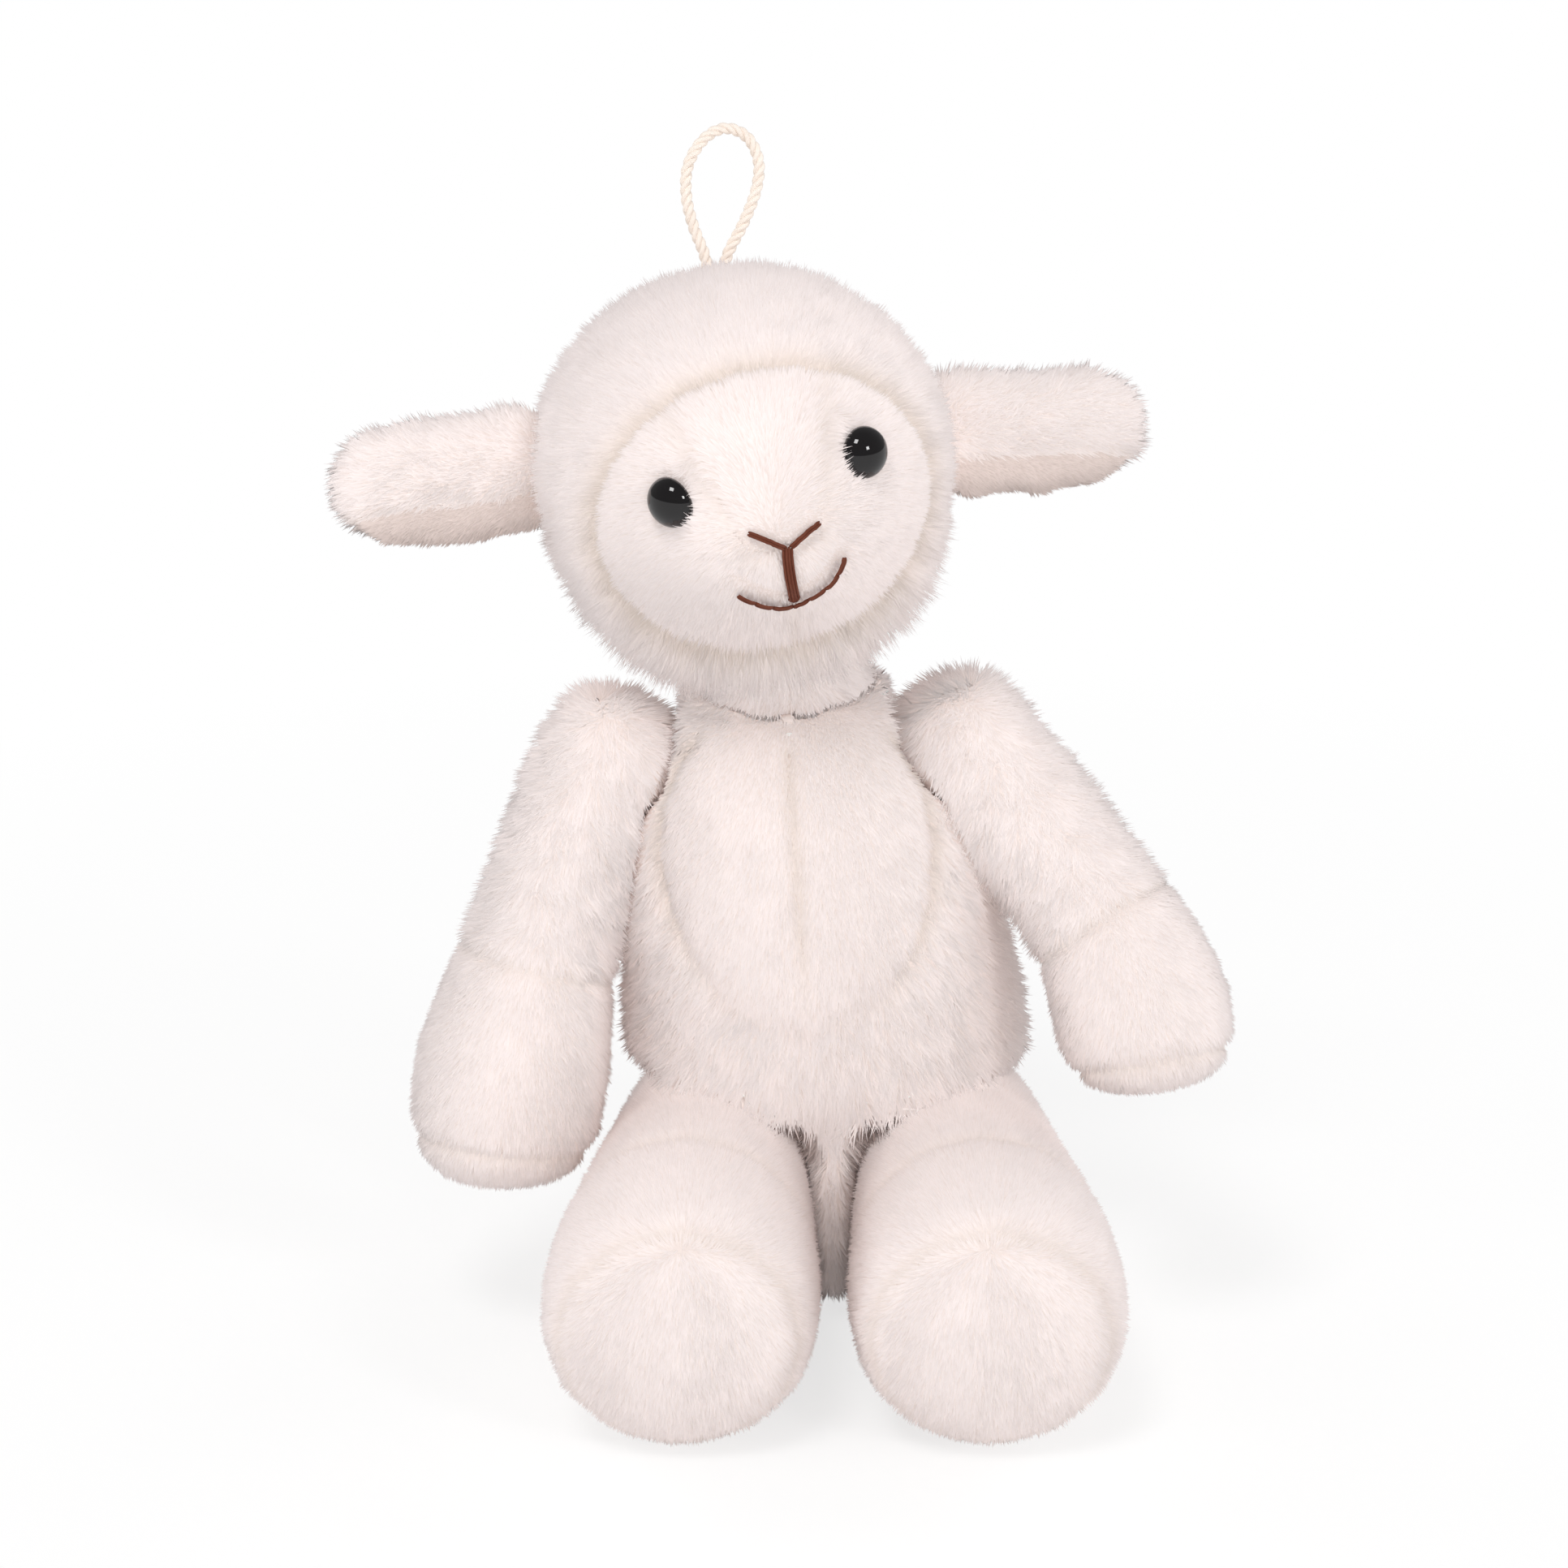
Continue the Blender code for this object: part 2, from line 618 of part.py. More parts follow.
def limb_planes(name, rings, ring, pivot):
    """Cutters for the two pieces that meet at a seam across a limb, the near piece's first."""
    direction = (rings[ring + 1][0] - rings[ring - 1][0]).normalized()
    place = rings[ring][0]
    gap = direction * SEAM_GAP / 2
    return beyond(name + "_past", place - gap, direction, pivot), beyond(name + "_before", place + gap, -direction, pivot)


def make_arm(side, pivots, torso_round):
    """A sleeve, a hand and its pad over one filling."""
    pivot = pivots["arm_" + side]
    shares = LEFT_ARM_RING_SHARES if side == "left" else RIGHT_ARM_RING_SHARES
    rings = []
    for i, (out, forward, down, wide) in enumerate(shares):
        centre = Vector((SIDES[side] * out, -forward, -down)) * ARM_LENGTH
        depth_share = HAND_DEPTH_SHARE if i > WRIST_RING_INDEX else 1
        rings.append((centre, SLEEVE_RADIUS * wide, SLEEVE_RADIUS * wide * depth_share))
    shape = cage("arm_cage_" + side, rings, Y, LIMB_SIDES)
    inside = soft("arm_inside_" + side, shape, pivot, CLOTH)
    root = ball("shoulder_" + side, SHOULDER_RADIUS, pivot)
    body = less(soft_copy(torso_round, "torso_at_arm_" + side), root)
    past_wrist, before_wrist = limb_planes("wrist_" + side, rings, WRIST_RING_INDEX, pivot)
    past_pad, before_pad = limb_planes("hand_seam_" + side, rings, HAND_PAD_RING_INDEX, pivot)
    less(cover("sleeve_" + side, shape, pivot, inside, LONG_PILE), past_wrist, body)
    less(cover("hand_" + side, shape, pivot, inside, SHORT_PILE), before_wrist, past_pad)
    less(cover("hand_pad_" + side, shape, pivot, inside, SHORT_PILE), before_pad)
    less(soft("arm_stuffing_" + side, shape, pivot, CLOTH + SEAM_GAP, STUFFING), body)


def make_leg(side, pivots, torso_round):
    """A leg, a foot and its sole over a filling and a pouch of pellets."""
    pivot = pivots["leg_" + side]
    rings = []
    for out, forward, up, wide, tall in LEG_RING_SHARES:
        centre = Vector((SIDES[side] * out, -forward, up)) * LEG_LENGTH
        rings.append((centre, LEG_RADIUS * wide, LEG_RADIUS * tall))
    shape = cage("leg_cage_" + side, rings, Z, LIMB_SIDES)
    lift_to_floor(shape, pivot)
    inside = soft("leg_inside_" + side, shape, pivot, CLOTH)
    hip = hip_drum("hip_" + side, 0, pivot)
    body = less(soft_copy(torso_round, "torso_at_leg_" + side), hip)
    behind = less(beyond("behind_hip_" + side, Vector(), Y, pivot), hip)
    floor = beyond("under_leg_" + side, Vector(), -Z)
    past_ankle, before_ankle = limb_planes("ankle_" + side, rings, ANKLE_RING_INDEX, pivot)
    past_sole, before_sole = limb_planes("sole_seam_" + side, rings, SOLE_RING_INDEX, pivot)
    less(cover("leg_" + side, shape, pivot, inside, SHORT_PILE), past_ankle, floor, behind, body)
    less(cover("foot_" + side, shape, pivot, inside, SHORT_PILE), before_ankle, past_sole, floor)
    less(cover("sole_" + side, shape, pivot, inside, SHORT_PILE), before_sole, floor)
    filling = CLOTH + SEAM_GAP
    less(soft("leg_stuffing_" + side, shape, pivot, filling, STUFFING), past_ankle, behind, body)
    less(soft("foot_pellets_" + side, shape, pivot, filling, PELLET_BAG), before_ankle)


def make_pivots():
    """The empties that carry the pieces, each on its own joint."""
    pivots = {"seat": pivot_at("seat", Vector())}
    neck = torso_centre(1, 1) - Z * NECK_DROP
    pivots["neck"] = pivot_at("neck_joint", neck, None, Matrix.Rotation(HEAD_ROLL, 4, "Y"))
    turn = Matrix.Rotation(HEAD_YAW, 4, "Z") @ Matrix.Rotation(HEAD_PITCH, 4, "X")
    pivots["head"] = pivot_at("head_middle", Z * HEAD_RISE - X * HEAD_SHIFT, pivots["neck"], turn)
    for side, sign in SIDES.items():
        shoulder = neck + Vector((sign * SHOULDER_SPREAD, 0, sign * SHOULDER_TILT - SHOULDER_DROP))
        pivots["arm_" + side] = pivot_at("shoulder_joint_" + side, shoulder)
        pivots["leg_" + side] = pivot_at("hip_joint_" + side, Vector((sign * HIP_SPREAD, -HIP_FORWARD, 0)))
        ear = Vector((sign * HEAD_WIDTH / 2, 0, EAR_RISE))
        droop = Matrix.Rotation(sign * EAR_DROOP, 4, "Y")
        pivots["ear_" + side] = pivot_at("ear_joint_" + side, ear, pivots["head"], droop)
    return pivots


clear_scene()
PARTS = collection("plush_sheep")
CUTTERS = collection("cutters")
LONG_PILE = finish("long_pile_plush", PLUSH, 0.95)
SHORT_PILE = finish("short_pile_plush", PLUSH, 0.9)
LINING_CLOTH = finish("ear_lining", LINING, 0.9)
STUFFING = finish("fibre_filling", FIBRE, 1.0)
PELLET_BAG = finish("pellet_pouch", PELLETS, 0.8)
GLOSS_BLACK = finish("eye_black", BLACK, 0.08)
NYLON = finish("washer_nylon", WHITE_NYLON, 0.5)
THREAD = finish("brown_thread", BROWN, 0.7)
CORD_FINISH = finish("loop_cord", CORD, 0.8)

PIVOTS = make_pivots()
TORSO_ROUND = make_torso(PIVOTS)
HEAD_ROUND = make_head(PIVOTS)
ball("neck", NECK_RADIUS, PIVOTS["neck"], LONG_PILE)
for SIDE in SIDES:
    make_ear(SIDE, PIVOTS, HEAD_ROUND)
    make_arm(SIDE, PIVOTS, TORSO_ROUND)
    make_leg(SIDE, PIVOTS, TORSO_ROUND)
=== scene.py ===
"""The looks of the sitting plush sheep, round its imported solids.

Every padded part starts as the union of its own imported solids, remeshed, smoothed and drawn in, so that
its pile ends about where the solids do. A short cloth simulation, held along the seams, fills it. It is
then parted into the panels of the pattern, and each panel grows its pile of separate fibres by Geometry
Nodes. The sheep faces -Y, its own left is +X, and lengths are in metres.
"""
import json
import math

import bmesh
import bpy
import numpy as np
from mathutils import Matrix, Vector
from mathutils.bvhtree import BVHTree


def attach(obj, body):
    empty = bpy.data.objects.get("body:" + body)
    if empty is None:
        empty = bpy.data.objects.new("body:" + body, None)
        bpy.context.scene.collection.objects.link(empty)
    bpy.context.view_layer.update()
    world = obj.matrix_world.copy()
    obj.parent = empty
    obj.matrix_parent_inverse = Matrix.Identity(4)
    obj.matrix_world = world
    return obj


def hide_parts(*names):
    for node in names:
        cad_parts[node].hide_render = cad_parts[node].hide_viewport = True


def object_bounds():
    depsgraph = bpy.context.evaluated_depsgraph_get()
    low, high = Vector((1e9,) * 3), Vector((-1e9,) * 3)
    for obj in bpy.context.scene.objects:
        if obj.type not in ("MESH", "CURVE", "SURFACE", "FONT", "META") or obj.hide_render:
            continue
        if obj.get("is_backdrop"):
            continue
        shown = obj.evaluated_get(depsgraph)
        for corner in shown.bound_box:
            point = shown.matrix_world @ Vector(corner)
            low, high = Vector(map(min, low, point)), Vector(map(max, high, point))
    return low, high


MM = 0.001
TINY = 1e-9

# The camera. One pixel of the photograph is this long at the sheep.
PHOTO_PIXELS = 1932
PIXEL = 0.2 * MM
CAMERA_TARGET = Vector((-12, 0, 135.7)) * MM
CAMERA_DISTANCE = 1.2
CAMERA_ELEVATION = math.radians(20)
CAMERA_AWAY = Vector((0, -math.cos(CAMERA_ELEVATION), math.sin(CAMERA_ELEVATION)))
CAMERA_UP = Vector((0, math.sin(CAMERA_ELEVATION), math.cos(CAMERA_ELEVATION)))
CAMERA_EYE = CAMERA_TARGET + CAMERA_AWAY * CAMERA_DISTANCE
SENSOR = 36

# Stage. The floor glows white to the camera from the far distance on, and by a share at the near one.
FLOOR_SIDE = 40.0
FLOOR_NEAR = 0.15
FLOOR_FAR = 0.5
FLOOR_GLOW_SHARE = 0.7
WORLD_STRENGTH = 0.3
LAMP_AIM = Vector((0, 0, 0.12))
# Place, size, the share of full light that it gives the sheep, and whether the eyes mirror it
LAMPS = {
    "key": ((-0.4, -0.85, 1.7), 0.5, 0.34, True),
    "fill": ((1.0, -1.1, 0.9), 0.3, 0.18, True),
    "front": ((0, -1.6, 0.35), 1.0, 0.21, False),
    "left": ((-1.4, -0.7, 0.4), 0.8, 0.19, False),
    "right": ((1.4, -0.5, 0.5), 0.8, 0.16, False),
    "top": ((0, -0.4, 1.6), 1.4, 0.10, False),
    "left_back": ((-1.2, 0.8, 0.9), 1.0, 0.22, False),
    "right_back": ((1.2, 0.8, 0.9), 1.0, 0.22, False),
}

# Padded forms
VOXEL = 3.2 * MM
SMOOTH_ROUNDS = 8
DOUBLES_REACH = 0.05 * MM
CLOTH_DEPTHS = {"long_pile_plush": 3.8 * MM, "short_pile_plush": 2.2 * MM, "ear_lining": 2.0 * MM}
EAR_DEPTH_SHARE = 0.1
SOCKET_DEPTH = 0.3 * MM
DEPTH_ROUNDS = 6
FILLING_DEPTH = 3.0 * MM
CLOTH_THICKNESS = 1.0 * MM

# The room between a body and the next one. Each pair is where an effect starts and where it is full.
ROOM_REACH = 8 * MM
DRAWN_ROOM = (1.5 * MM, 5 * MM)
FREE_ROOM = (2 * MM, 6 * MM)
PILE_ROOM = (0.5 * MM, 4 * MM)
GROWTH_ROOM = (0.2 * MM, 1.5 * MM)

# Seams
PANEL_REACH = 200 * MM
SEAM_REACH = 1.8 * MM
SEAM_DIPS = {"head": 2.0 * MM, "torso": 0.9 * MM, "leg_left": 0.6 * MM, "leg_right": 0.6 * MM}
USUAL_SEAM_DIP = 1.1 * MM
FACE_SEAM_SHARE = 0.35
# How strongly each body's seam grooves take the painted shade of the seam colour
SEAM_SHADE_SHARES = {"head": 0.9, "torso": 0.6}
USUAL_SEAM_SHADE_SHARE = 0.4
BELLY_FOOT = (86 * MM, 112 * MM)
BELLY_TOP = (152 * MM, 158 * MM)
STITCHING_REACH = 10 * MM
STITCHED_GROOVE = (1.5 * MM, 6 * MM)

# The cloth simulation, ten times as large as the sheep
SIM_ZOOM = 10
SIM_FRAMES = 20
SIM_QUALITY = 5
SIM_PRESSURE = 8
SIM_MASS = 0.3
SIM_LIMIT = 1.6 * MM
HELD_REACH = 3.0 * MM
LEAST_HELD_SHARE = 0.01

# Pile of each cloth: its fibres' size, their number on a square metre, their lean, and how much tufts and
# stray fibres turn aside
PILES = {
    "long_pile_plush": {
        "Length": 5.6 * MM, "Width": 0.8 * MM, "Density": 2.8e6, "Lean": 0.45, "Tufts": 0.45, "Stray": 0.20,
    },
    "short_pile_plush": {
        "Length": 3.4 * MM, "Width": 0.7 * MM, "Density": 3.4e6, "Lean": 0.52, "Tufts": 0.18, "Stray": 0.13,
    },
    "ear_lining": {
        "Length": 2.8 * MM, "Width": 0.7 * MM, "Density": 3.4e6, "Lean": 0.50, "Tufts": 0.18, "Stray": 0.13,
    },
}
# The largest panel has fewer and wider fibres, so that its pile stays a small enough piece.
LARGEST_PANEL = "body_shell"
LARGEST_NUMBER_SHARE = 0.66
LARGEST_WIDTH_SHARE = 1.15
FIBRE_SIDES = 3
FIBRE_ROUNDNESS = 0.8
LENGTH_SHARES = (0.7, 1.15)
WIDTH_SHARES = (0.7, 1.3)
TUFTS_PER_METRE = 170
TUFT_DETAIL = 1.0
STRAY_SEED, LENGTH_SEED, WIDTH_SEED, SHADE_SEED = 1, 3, 4, 5
LIT_LEAN = 0.05
FLOOR_CLEARANCE = 0.05 * MM

# How long the pile is, as shares of its cloth's length. Heights are above the floor, and fronts are along Y.
CLOSED_PILE_SHARE = 0.25
CLOSED_GROWTH_SHARE = 0.05
SEAM_TRIM_SHARE = 0.35
EAR_PILE_SHARE = 0.8
RUFF_REACHES = (32 * MM, 64 * MM)
RUFF_GROWTH_SHARES = {"torso": -0.3, "neck": 0.4, "head": 1.3}
USUAL_RUFF_GROWTH_SHARE = 0.2
LAP_TRIM_SHARE = 0.2
LAP_HEIGHT = (45 * MM, 70 * MM)
LAP_FRONT = (-30 * MM, -15 * MM)
HEM_PILE_SHARE = 1.4
HEM_FOOT = (42 * MM, 55 * MM)
HEM_TOP = (75 * MM, 90 * MM)
HEM_FRONT = (-25 * MM, -10 * MM)
SEWN_PILE_SHARE = 0.12
SEWN_PILE = (2.8 * MM, 5 * MM)
FLOOR_PILE_SHARE = 0.4
FLOOR_PILE = (1.5 * MM, 5 * MM)

# The point that each pile is combed away from, and the share by which it also falls
NOSE_REACH = 60 * MM
NOSE_DROP = 20 * MM
NECK_COMB_RISE = 20 * MM
EAR_COMB_SHARE = 0.6
ARM_COMB_RISE = 50 * MM
LEG_COMB_START = Vector((0, -170, 85)) * MM
FALL_SHARES = {"head": 0.35, "torso": 0.8, "neck": 1.0, "ear": 0.1, "arm": 0.4, "leg": 0.1}

# Eyes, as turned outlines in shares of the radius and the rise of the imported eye
EYE_SIDES = 48
EYE_RINGS = 14
STEM_SHARE = 0.3
EYE_DOME_SHARE = 0.92
EYE_RIM_SHARE = 0.99
EYE_SHIFTS = {"left": Vector((-0.6, 0, 1.0)) * MM, "right": Vector((1.4, 0, 0.8)) * MM}
# The pile round them, short under the dome and long beside its inner edge. The first two pairs are shares of
# the eye's radius.
EYE_PILE_REACH = 16 * MM
DOME_EDGE_SHARES = (0.8, 0.95)
EYE_PILE_SHARES = (1.3, 1.8)
INNER_SIDE_SHARES = (0.2, 0.6)
DOME_TRIM_SHARE = 0.9
EYE_PILE_GROWTH_SHARE = 0.5

# Stitches, with the points of the nose and mouth as pixels of the photograph
THREAD_RADIUS = 0.38 * MM
THREAD_STEP = 0.5 * MM
THREAD_SIDES = 6
THREAD_END_SHARE = 0.6
THREAD_SPACING_SHARE = 1.7
THREAD_SLOPE_SHARE = 0.35
ROUTE_STEPS = 6
LEAST_POINTS = 3
STITCH_LENGTH = 4.5 * MM
STITCH_DIP = 0.3 * MM
STITCH_DIP_STEPS = 3
NOSE_LIFT = 1.6 * MM
MOUTH_LIFT = 2.3 * MM
NOSE_LINES = (
    (((922, 656), (938, 662), (953, 668), (967, 674)), 2),
    (((1008, 643), (996, 652), (983, 663), (973, 673)), 2),
    (((969, 672), (970, 688), (972, 704), (975, 720), (978, 735)), 4),
)
MOUTH_LINE = (
    (911, 726), (924, 732), (938, 737), (954, 740), (970, 739), (986, 734), (1002, 725),
    (1016, 715), (1025, 704), (1031, 692), (1035, 682),
)
MOUTH_THREADS = 2

# Hanging loop: its root from between the ears, and its points (across, up), as in the CAD
LOOP_ROOT = Vector((-2, 4, 44.0)) * MM
LOOP_HEIGHT = 34 * MM
LOOP_POINT_SHARES = (
    (-0.05, 0.00), (-0.07, 0.14), (-0.13, 0.34), (-0.16, 0.55), (-0.13, 0.76), (-0.01, 0.93), (0.15, 1.00),
    (0.30, 0.93), (0.37, 0.76), (0.34, 0.56), (0.23, 0.33), (0.11, 0.14), (0.05, 0.00),
)
LOOP_STEPS = 24
STRANDS = 3
STRAND_RADIUS = 0.78 * MM
STRAND_TURN_RADIUS = 0.66 * MM
STRAND_PITCH = 7 * MM
STRAND_SIDES = 8

# Colours of the finishes. Plush: the fibres' tips, their roots with painted shade, and both with the painted shade
# of a seam's groove.
PLUSH_COLOURS_AND_SHADES = {
    "ivory_plush": ((0.93, 0.845, 0.835), (0.82, 0.71, 0.67), (0.74, 0.63, 0.56)),
    # The ear lining is darker partly as its own colour and partly as painted shade under the drooping ear.
    "ear_lining": ((0.80, 0.68, 0.64), (0.66, 0.55, 0.51), (0.70, 0.60, 0.55)),
}
PLUSH_ROUGHNESS = 0.9
PLUSH_PATCHES_PER_METRE = 60.0
PLUSH_LIGHTNESS_SHARES = (0.93, 1.05)
# Thread: its dye where it is dark and where it is light, and the number of its strands on a metre
THREADS = {
    "cream_cord": ((0.80, 0.70, 0.62), (0.90, 0.82, 0.75), 900.0),
    "brown_thread": ((0.10, 0.024, 0.012), (0.17, 0.05, 0.028), 1500.0),
}
THREAD_ROUGHNESS = 0.65
THREAD_GLOSS_SHARE = 0.2
THREAD_DYE_SHARE = 0.25
THREAD_BUMP = 0.25 * MM
THREAD_BUMP_SHARE = 0.5
THREAD_DETAIL = 3.0
# Plastic: its colour, its roughness, and how much that varies
PLASTICS = {
    "eye_black": ((0.004, 0.003, 0.0035), 0.03, 0.03),
    "washer_nylon": ((0.75, 0.75, 0.73), 0.4, 0.15),
}
PLASTIC_PATCHES_PER_METRE = 300.0
USUAL_DETAIL = 2.0
FILLING_COLOUR = (0.86, 0.86, 0.84)
FLOOR_COLOUR = (0.96, 0.96, 0.96)
WHITE = (1, 1, 1, 1)

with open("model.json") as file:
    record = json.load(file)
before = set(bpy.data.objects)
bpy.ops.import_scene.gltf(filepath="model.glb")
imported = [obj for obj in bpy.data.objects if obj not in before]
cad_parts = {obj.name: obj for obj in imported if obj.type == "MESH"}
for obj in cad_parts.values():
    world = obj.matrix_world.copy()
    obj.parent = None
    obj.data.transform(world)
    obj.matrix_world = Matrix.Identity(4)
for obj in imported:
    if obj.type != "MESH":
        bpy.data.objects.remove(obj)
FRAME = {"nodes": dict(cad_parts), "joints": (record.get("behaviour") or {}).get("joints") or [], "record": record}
CAD_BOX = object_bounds()
RECORD = FRAME["record"]
BODIES = RECORD["behaviour"]["bodies"]
SLOT_OF = {part["node"]: part["material_slot"] for part in RECORD["subparts"]}
JOINTS = {joint["name"]: joint for joint in FRAME["joints"]}
NECK = Vector(JOINTS["neck_turn"]["pos_m"])
STITCHING = ["nose_stitching", "mouth_stitching"]
SIDES = ("left", "right")
SCENE = bpy.context.scene
X, Z = Vector((1, 0, 0)), Vector((0, 0, 1))


def socket(sockets, key):
    """A node's socket by its identifier, or by its name."""
    return next((s for s in sockets if s.identifier == key), None) or sockets[key]


def node(tree, kind, inputs=None, **settings):
    """A node with its settings, its values and its links."""
    made = tree.nodes.new(kind)
    for name, value in settings.items():
        setattr(made, name, value)
    for key, value in (inputs or {}).items():
        if isinstance(value, bpy.types.NodeSocket):
            tree.links.new(value, socket(made.inputs, key))
        else:
            socket(made.inputs, key).default_value = value
    return made


def number(tree, operation, a, b):
    """The number that a Math node works out from two."""
    return node(tree, "ShaderNodeMath", {0: a, 1: b}, operation=operation).outputs[0]


def new_group(name, kind, inputs, outputs):
    """A node group with named inputs and outputs, each with its kind of socket, and what it is given."""
    tree = bpy.data.node_groups.new(name, kind)
    for in_out, sockets in (("INPUT", inputs), ("OUTPUT", outputs)):
        for title, socket_kind in sockets.items():
            tree.interface.new_socket(title, in_out=in_out, socket_type="NodeSocket" + socket_kind)
    return tree, node(tree, "NodeGroupInput").outputs


def shown(name, data):
    """An object of the scene that shows a mesh, a camera or a lamp."""
    made = bpy.data.objects.new(name, data)
    SCENE.collection.objects.link(made)
    return made


def finished(made):
    """The plain mesh that an object's modifiers give. The object goes."""
    graph = bpy.context.evaluated_depsgraph_get()
    mesh = bpy.data.meshes.new_from_object(made.evaluated_get(graph))
    name = made.name
    bpy.data.objects.remove(made)
    mesh.name = name
    return mesh


def points_of(mesh):
    """The points of a mesh, one in each row."""
    flat = np.empty(len(mesh.vertices) * 3, np.float32)
    mesh.vertices.foreach_get("co", flat)
    return flat.reshape(-1, 3).astype(float)


def place_points(mesh, points):
    """Moves the points of a mesh to new places."""
    mesh.vertices.foreach_set("co", points.astype(np.float32).ravel())
    mesh.update()


def normals_of(mesh):
    """The smooth normals at the points of a mesh, one in each row."""
    flat = np.empty(len(mesh.vertices) * 3, np.float32)
    mesh.vertex_normals.foreach_get("vector", flat)
    return flat.reshape(-1, 3).astype(float)


def store(mesh, name, values):
    """Keeps a number or a direction for each point of a mesh."""
    vectors = values.ndim == 2
    kept = mesh.attributes.new(name, "FLOAT_VECTOR" if vectors else "FLOAT", "POINT")
    kept.data.foreach_set("vector" if vectors else "value", values.astype(np.float32).ravel())


def stored(mesh, name, vectors=False):
    """The numbers or directions that a mesh keeps for its points."""
    flat = np.empty(len(mesh.vertices) * (3 if vectors else 1), np.float32)
    mesh.attributes[name].data.foreach_get("vector" if vectors else "value", flat)
    return flat.reshape(-1, 3).astype(float) if vectors else flat.astype(float)


def unit(vectors):
    """The same directions with a length of 1."""
    return vectors / np.maximum(np.linalg.norm(vectors, axis=1, keepdims=True), TINY)


def spread(mesh, values, rounds):
    """Values of the points of a mesh, evened out along its edges."""
    ends = np.empty(len(mesh.edges) * 2, np.int32)
    mesh.edges.foreach_get("vertices", ends)
    a, b = ends.reshape(-1, 2).T
    count = np.bincount(ends, minlength=len(values)).astype(float)
    for _ in range(rounds):
        total = np.bincount(a, values[b], len(values)) + np.bincount(b, values[a], len(values))
        values = (values + total / np.maximum(count, 1)) / 2
    return values


def step_up(values, low, high):
    """0 below low, 1 above high, and a smooth step between."""
    t = np.clip((values - low) / (high - low), 0, 1)
    return t * t * (3 - 2 * t)


def step_down(values, low, high):
    """1 below low, 0 above high, and a smooth step between."""
    return 1 - step_up(values, low, high)


def at_least(least, shares):
    """Shares from 0 to 1, squeezed so that they start from the least one."""
    return least + (1 - least) * shares


def tree_of(meshes):
    """A search tree of meshes."""
    tool = bmesh.new()
    for mesh in meshes:
        tool.from_mesh(mesh)
    tree = BVHTree.FromBMesh(tool)
    tool.free()
    return tree


def solid_tree(names):
    """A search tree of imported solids."""
    return tree_of([FRAME["nodes"][name].data for name in names])


def distances(tree, points, reach):
    """How far each point is from a tree, up to a reach."""
    found = (tree.find_nearest(point, reach)[3] for point in points)
    return np.array([reach if away is None else away for away in found])


def covers_of(body):
    """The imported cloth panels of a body."""
    return [name for name in BODIES[body] if SLOT_OF[name] in PILES]


def fillings_of(body):
    """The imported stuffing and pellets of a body."""
    return [name for name in BODIES[body] if SLOT_OF[name] in ("fibre_filling", "pellet_pouch")]


def rough_form(body):
    """The union of a body's padded solids, as one smooth closed mesh."""
    tool = bmesh.new()
    for name in covers_of(body) + fillings_of(body):
        tool.from_mesh(FRAME["nodes"][name].data)
    bmesh.ops.remove_doubles(tool, verts=tool.verts, dist=DOUBLES_REACH)
    mesh = bpy.data.meshes.new(body)
    tool.to_mesh(mesh)
    tool.free()
    made = shown(body + "_form", mesh)
    remesh = made.modifiers.new("voxels", "REMESH")
    remesh.mode = "VOXEL"
    remesh.voxel_size = VOXEL
    smooth = made.modifiers.new("smooth", "SMOOTH")
    smooth.iterations = SMOOTH_ROUNDS
    return finished(made)


def room_over(mesh, others):
    """How far each point's normal goes before it meets another body, up to a reach."""
    room = []
    for point, normal in zip(points_of(mesh), normals_of(mesh)):
        hit = others.ray_cast(Vector(point), Vector(normal), ROOM_REACH)[3]
        room.append(ROOM_REACH if hit is None else hit)
    return np.array(room)


def panel_and_seam(body, points):
    """The panel that each point lies on, by its place in covers_of, and its distances from the seams.

    The first distance is from the nearest seam, and the second is from the first panel's own seam.
    """
    away = np.array([distances(solid_tree([name]), points, PANEL_REACH) for name in covers_of(body)])
    panel = away.argmin(axis=0)
    if len(away) == 1:
        none = np.full(len(points), PANEL_REACH)
        return panel, none, none
    return panel, np.sort(away, axis=0)[1], np.maximum(away[0], away[1:].min(axis=0))


def draw_in(mesh, room, full_depth, extra=0.0):
    """Moves a form's points inwards to a full depth, less where another body lies against them."""
    open_share = step_up(room, *DRAWN_ROOM)
    depth = spread(mesh, SOCKET_DEPTH + (full_depth - SOCKET_DEPTH) * open_share, DEPTH_ROUNDS) + extra
    place_points(mesh, points_of(mesh) - normals_of(mesh) * depth[:, None])


def fill_out(body, mesh, held):
    """Puffs a form up in a short cloth simulation, held where the held share of a point is 1."""
    start = points_of(mesh)
    swollen = mesh.copy()
    place_points(swollen, start * SIM_ZOOM)
    made = shown(body + "_filling_up", swollen)
    group = made.vertex_groups.new(name="held")
    for i, share in enumerate(held):
        if share > LEAST_HELD_SHARE:
            group.add([i], float(share), "REPLACE")
    cloth = made.modifiers.new("filling", "CLOTH")
    settings = cloth.settings
    settings.mass = SIM_MASS
    settings.quality = SIM_QUALITY
    settings.use_pressure = True
    settings.uniform_pressure_force = SIM_PRESSURE
    settings.vertex_group_mass = "held"
    settings.effector_weights.gravity = 0
    cloth.collision_settings.use_collision = False
    for moment in range(1, SIM_FRAMES + 1):
        SCENE.frame_set(moment)
    end = points_of(finished(made)) / SIM_ZOOM
    SCENE.frame_set(1)
    move = end - start
    far = np.linalg.norm(move, axis=1, keepdims=True)
    place_points(mesh, start + move * np.minimum(1, SIM_LIMIT / np.maximum(far, TINY)))


def finer(mesh, name):
    """The mesh once subdivided, smooth all over."""
    made = shown(name, mesh)
    smooth = made.modifiers.new("smooth", "SUBSURF")
    smooth.levels = smooth.render_levels = 1
    mesh = finished(made)
    mesh.shade_smooth()
    return mesh


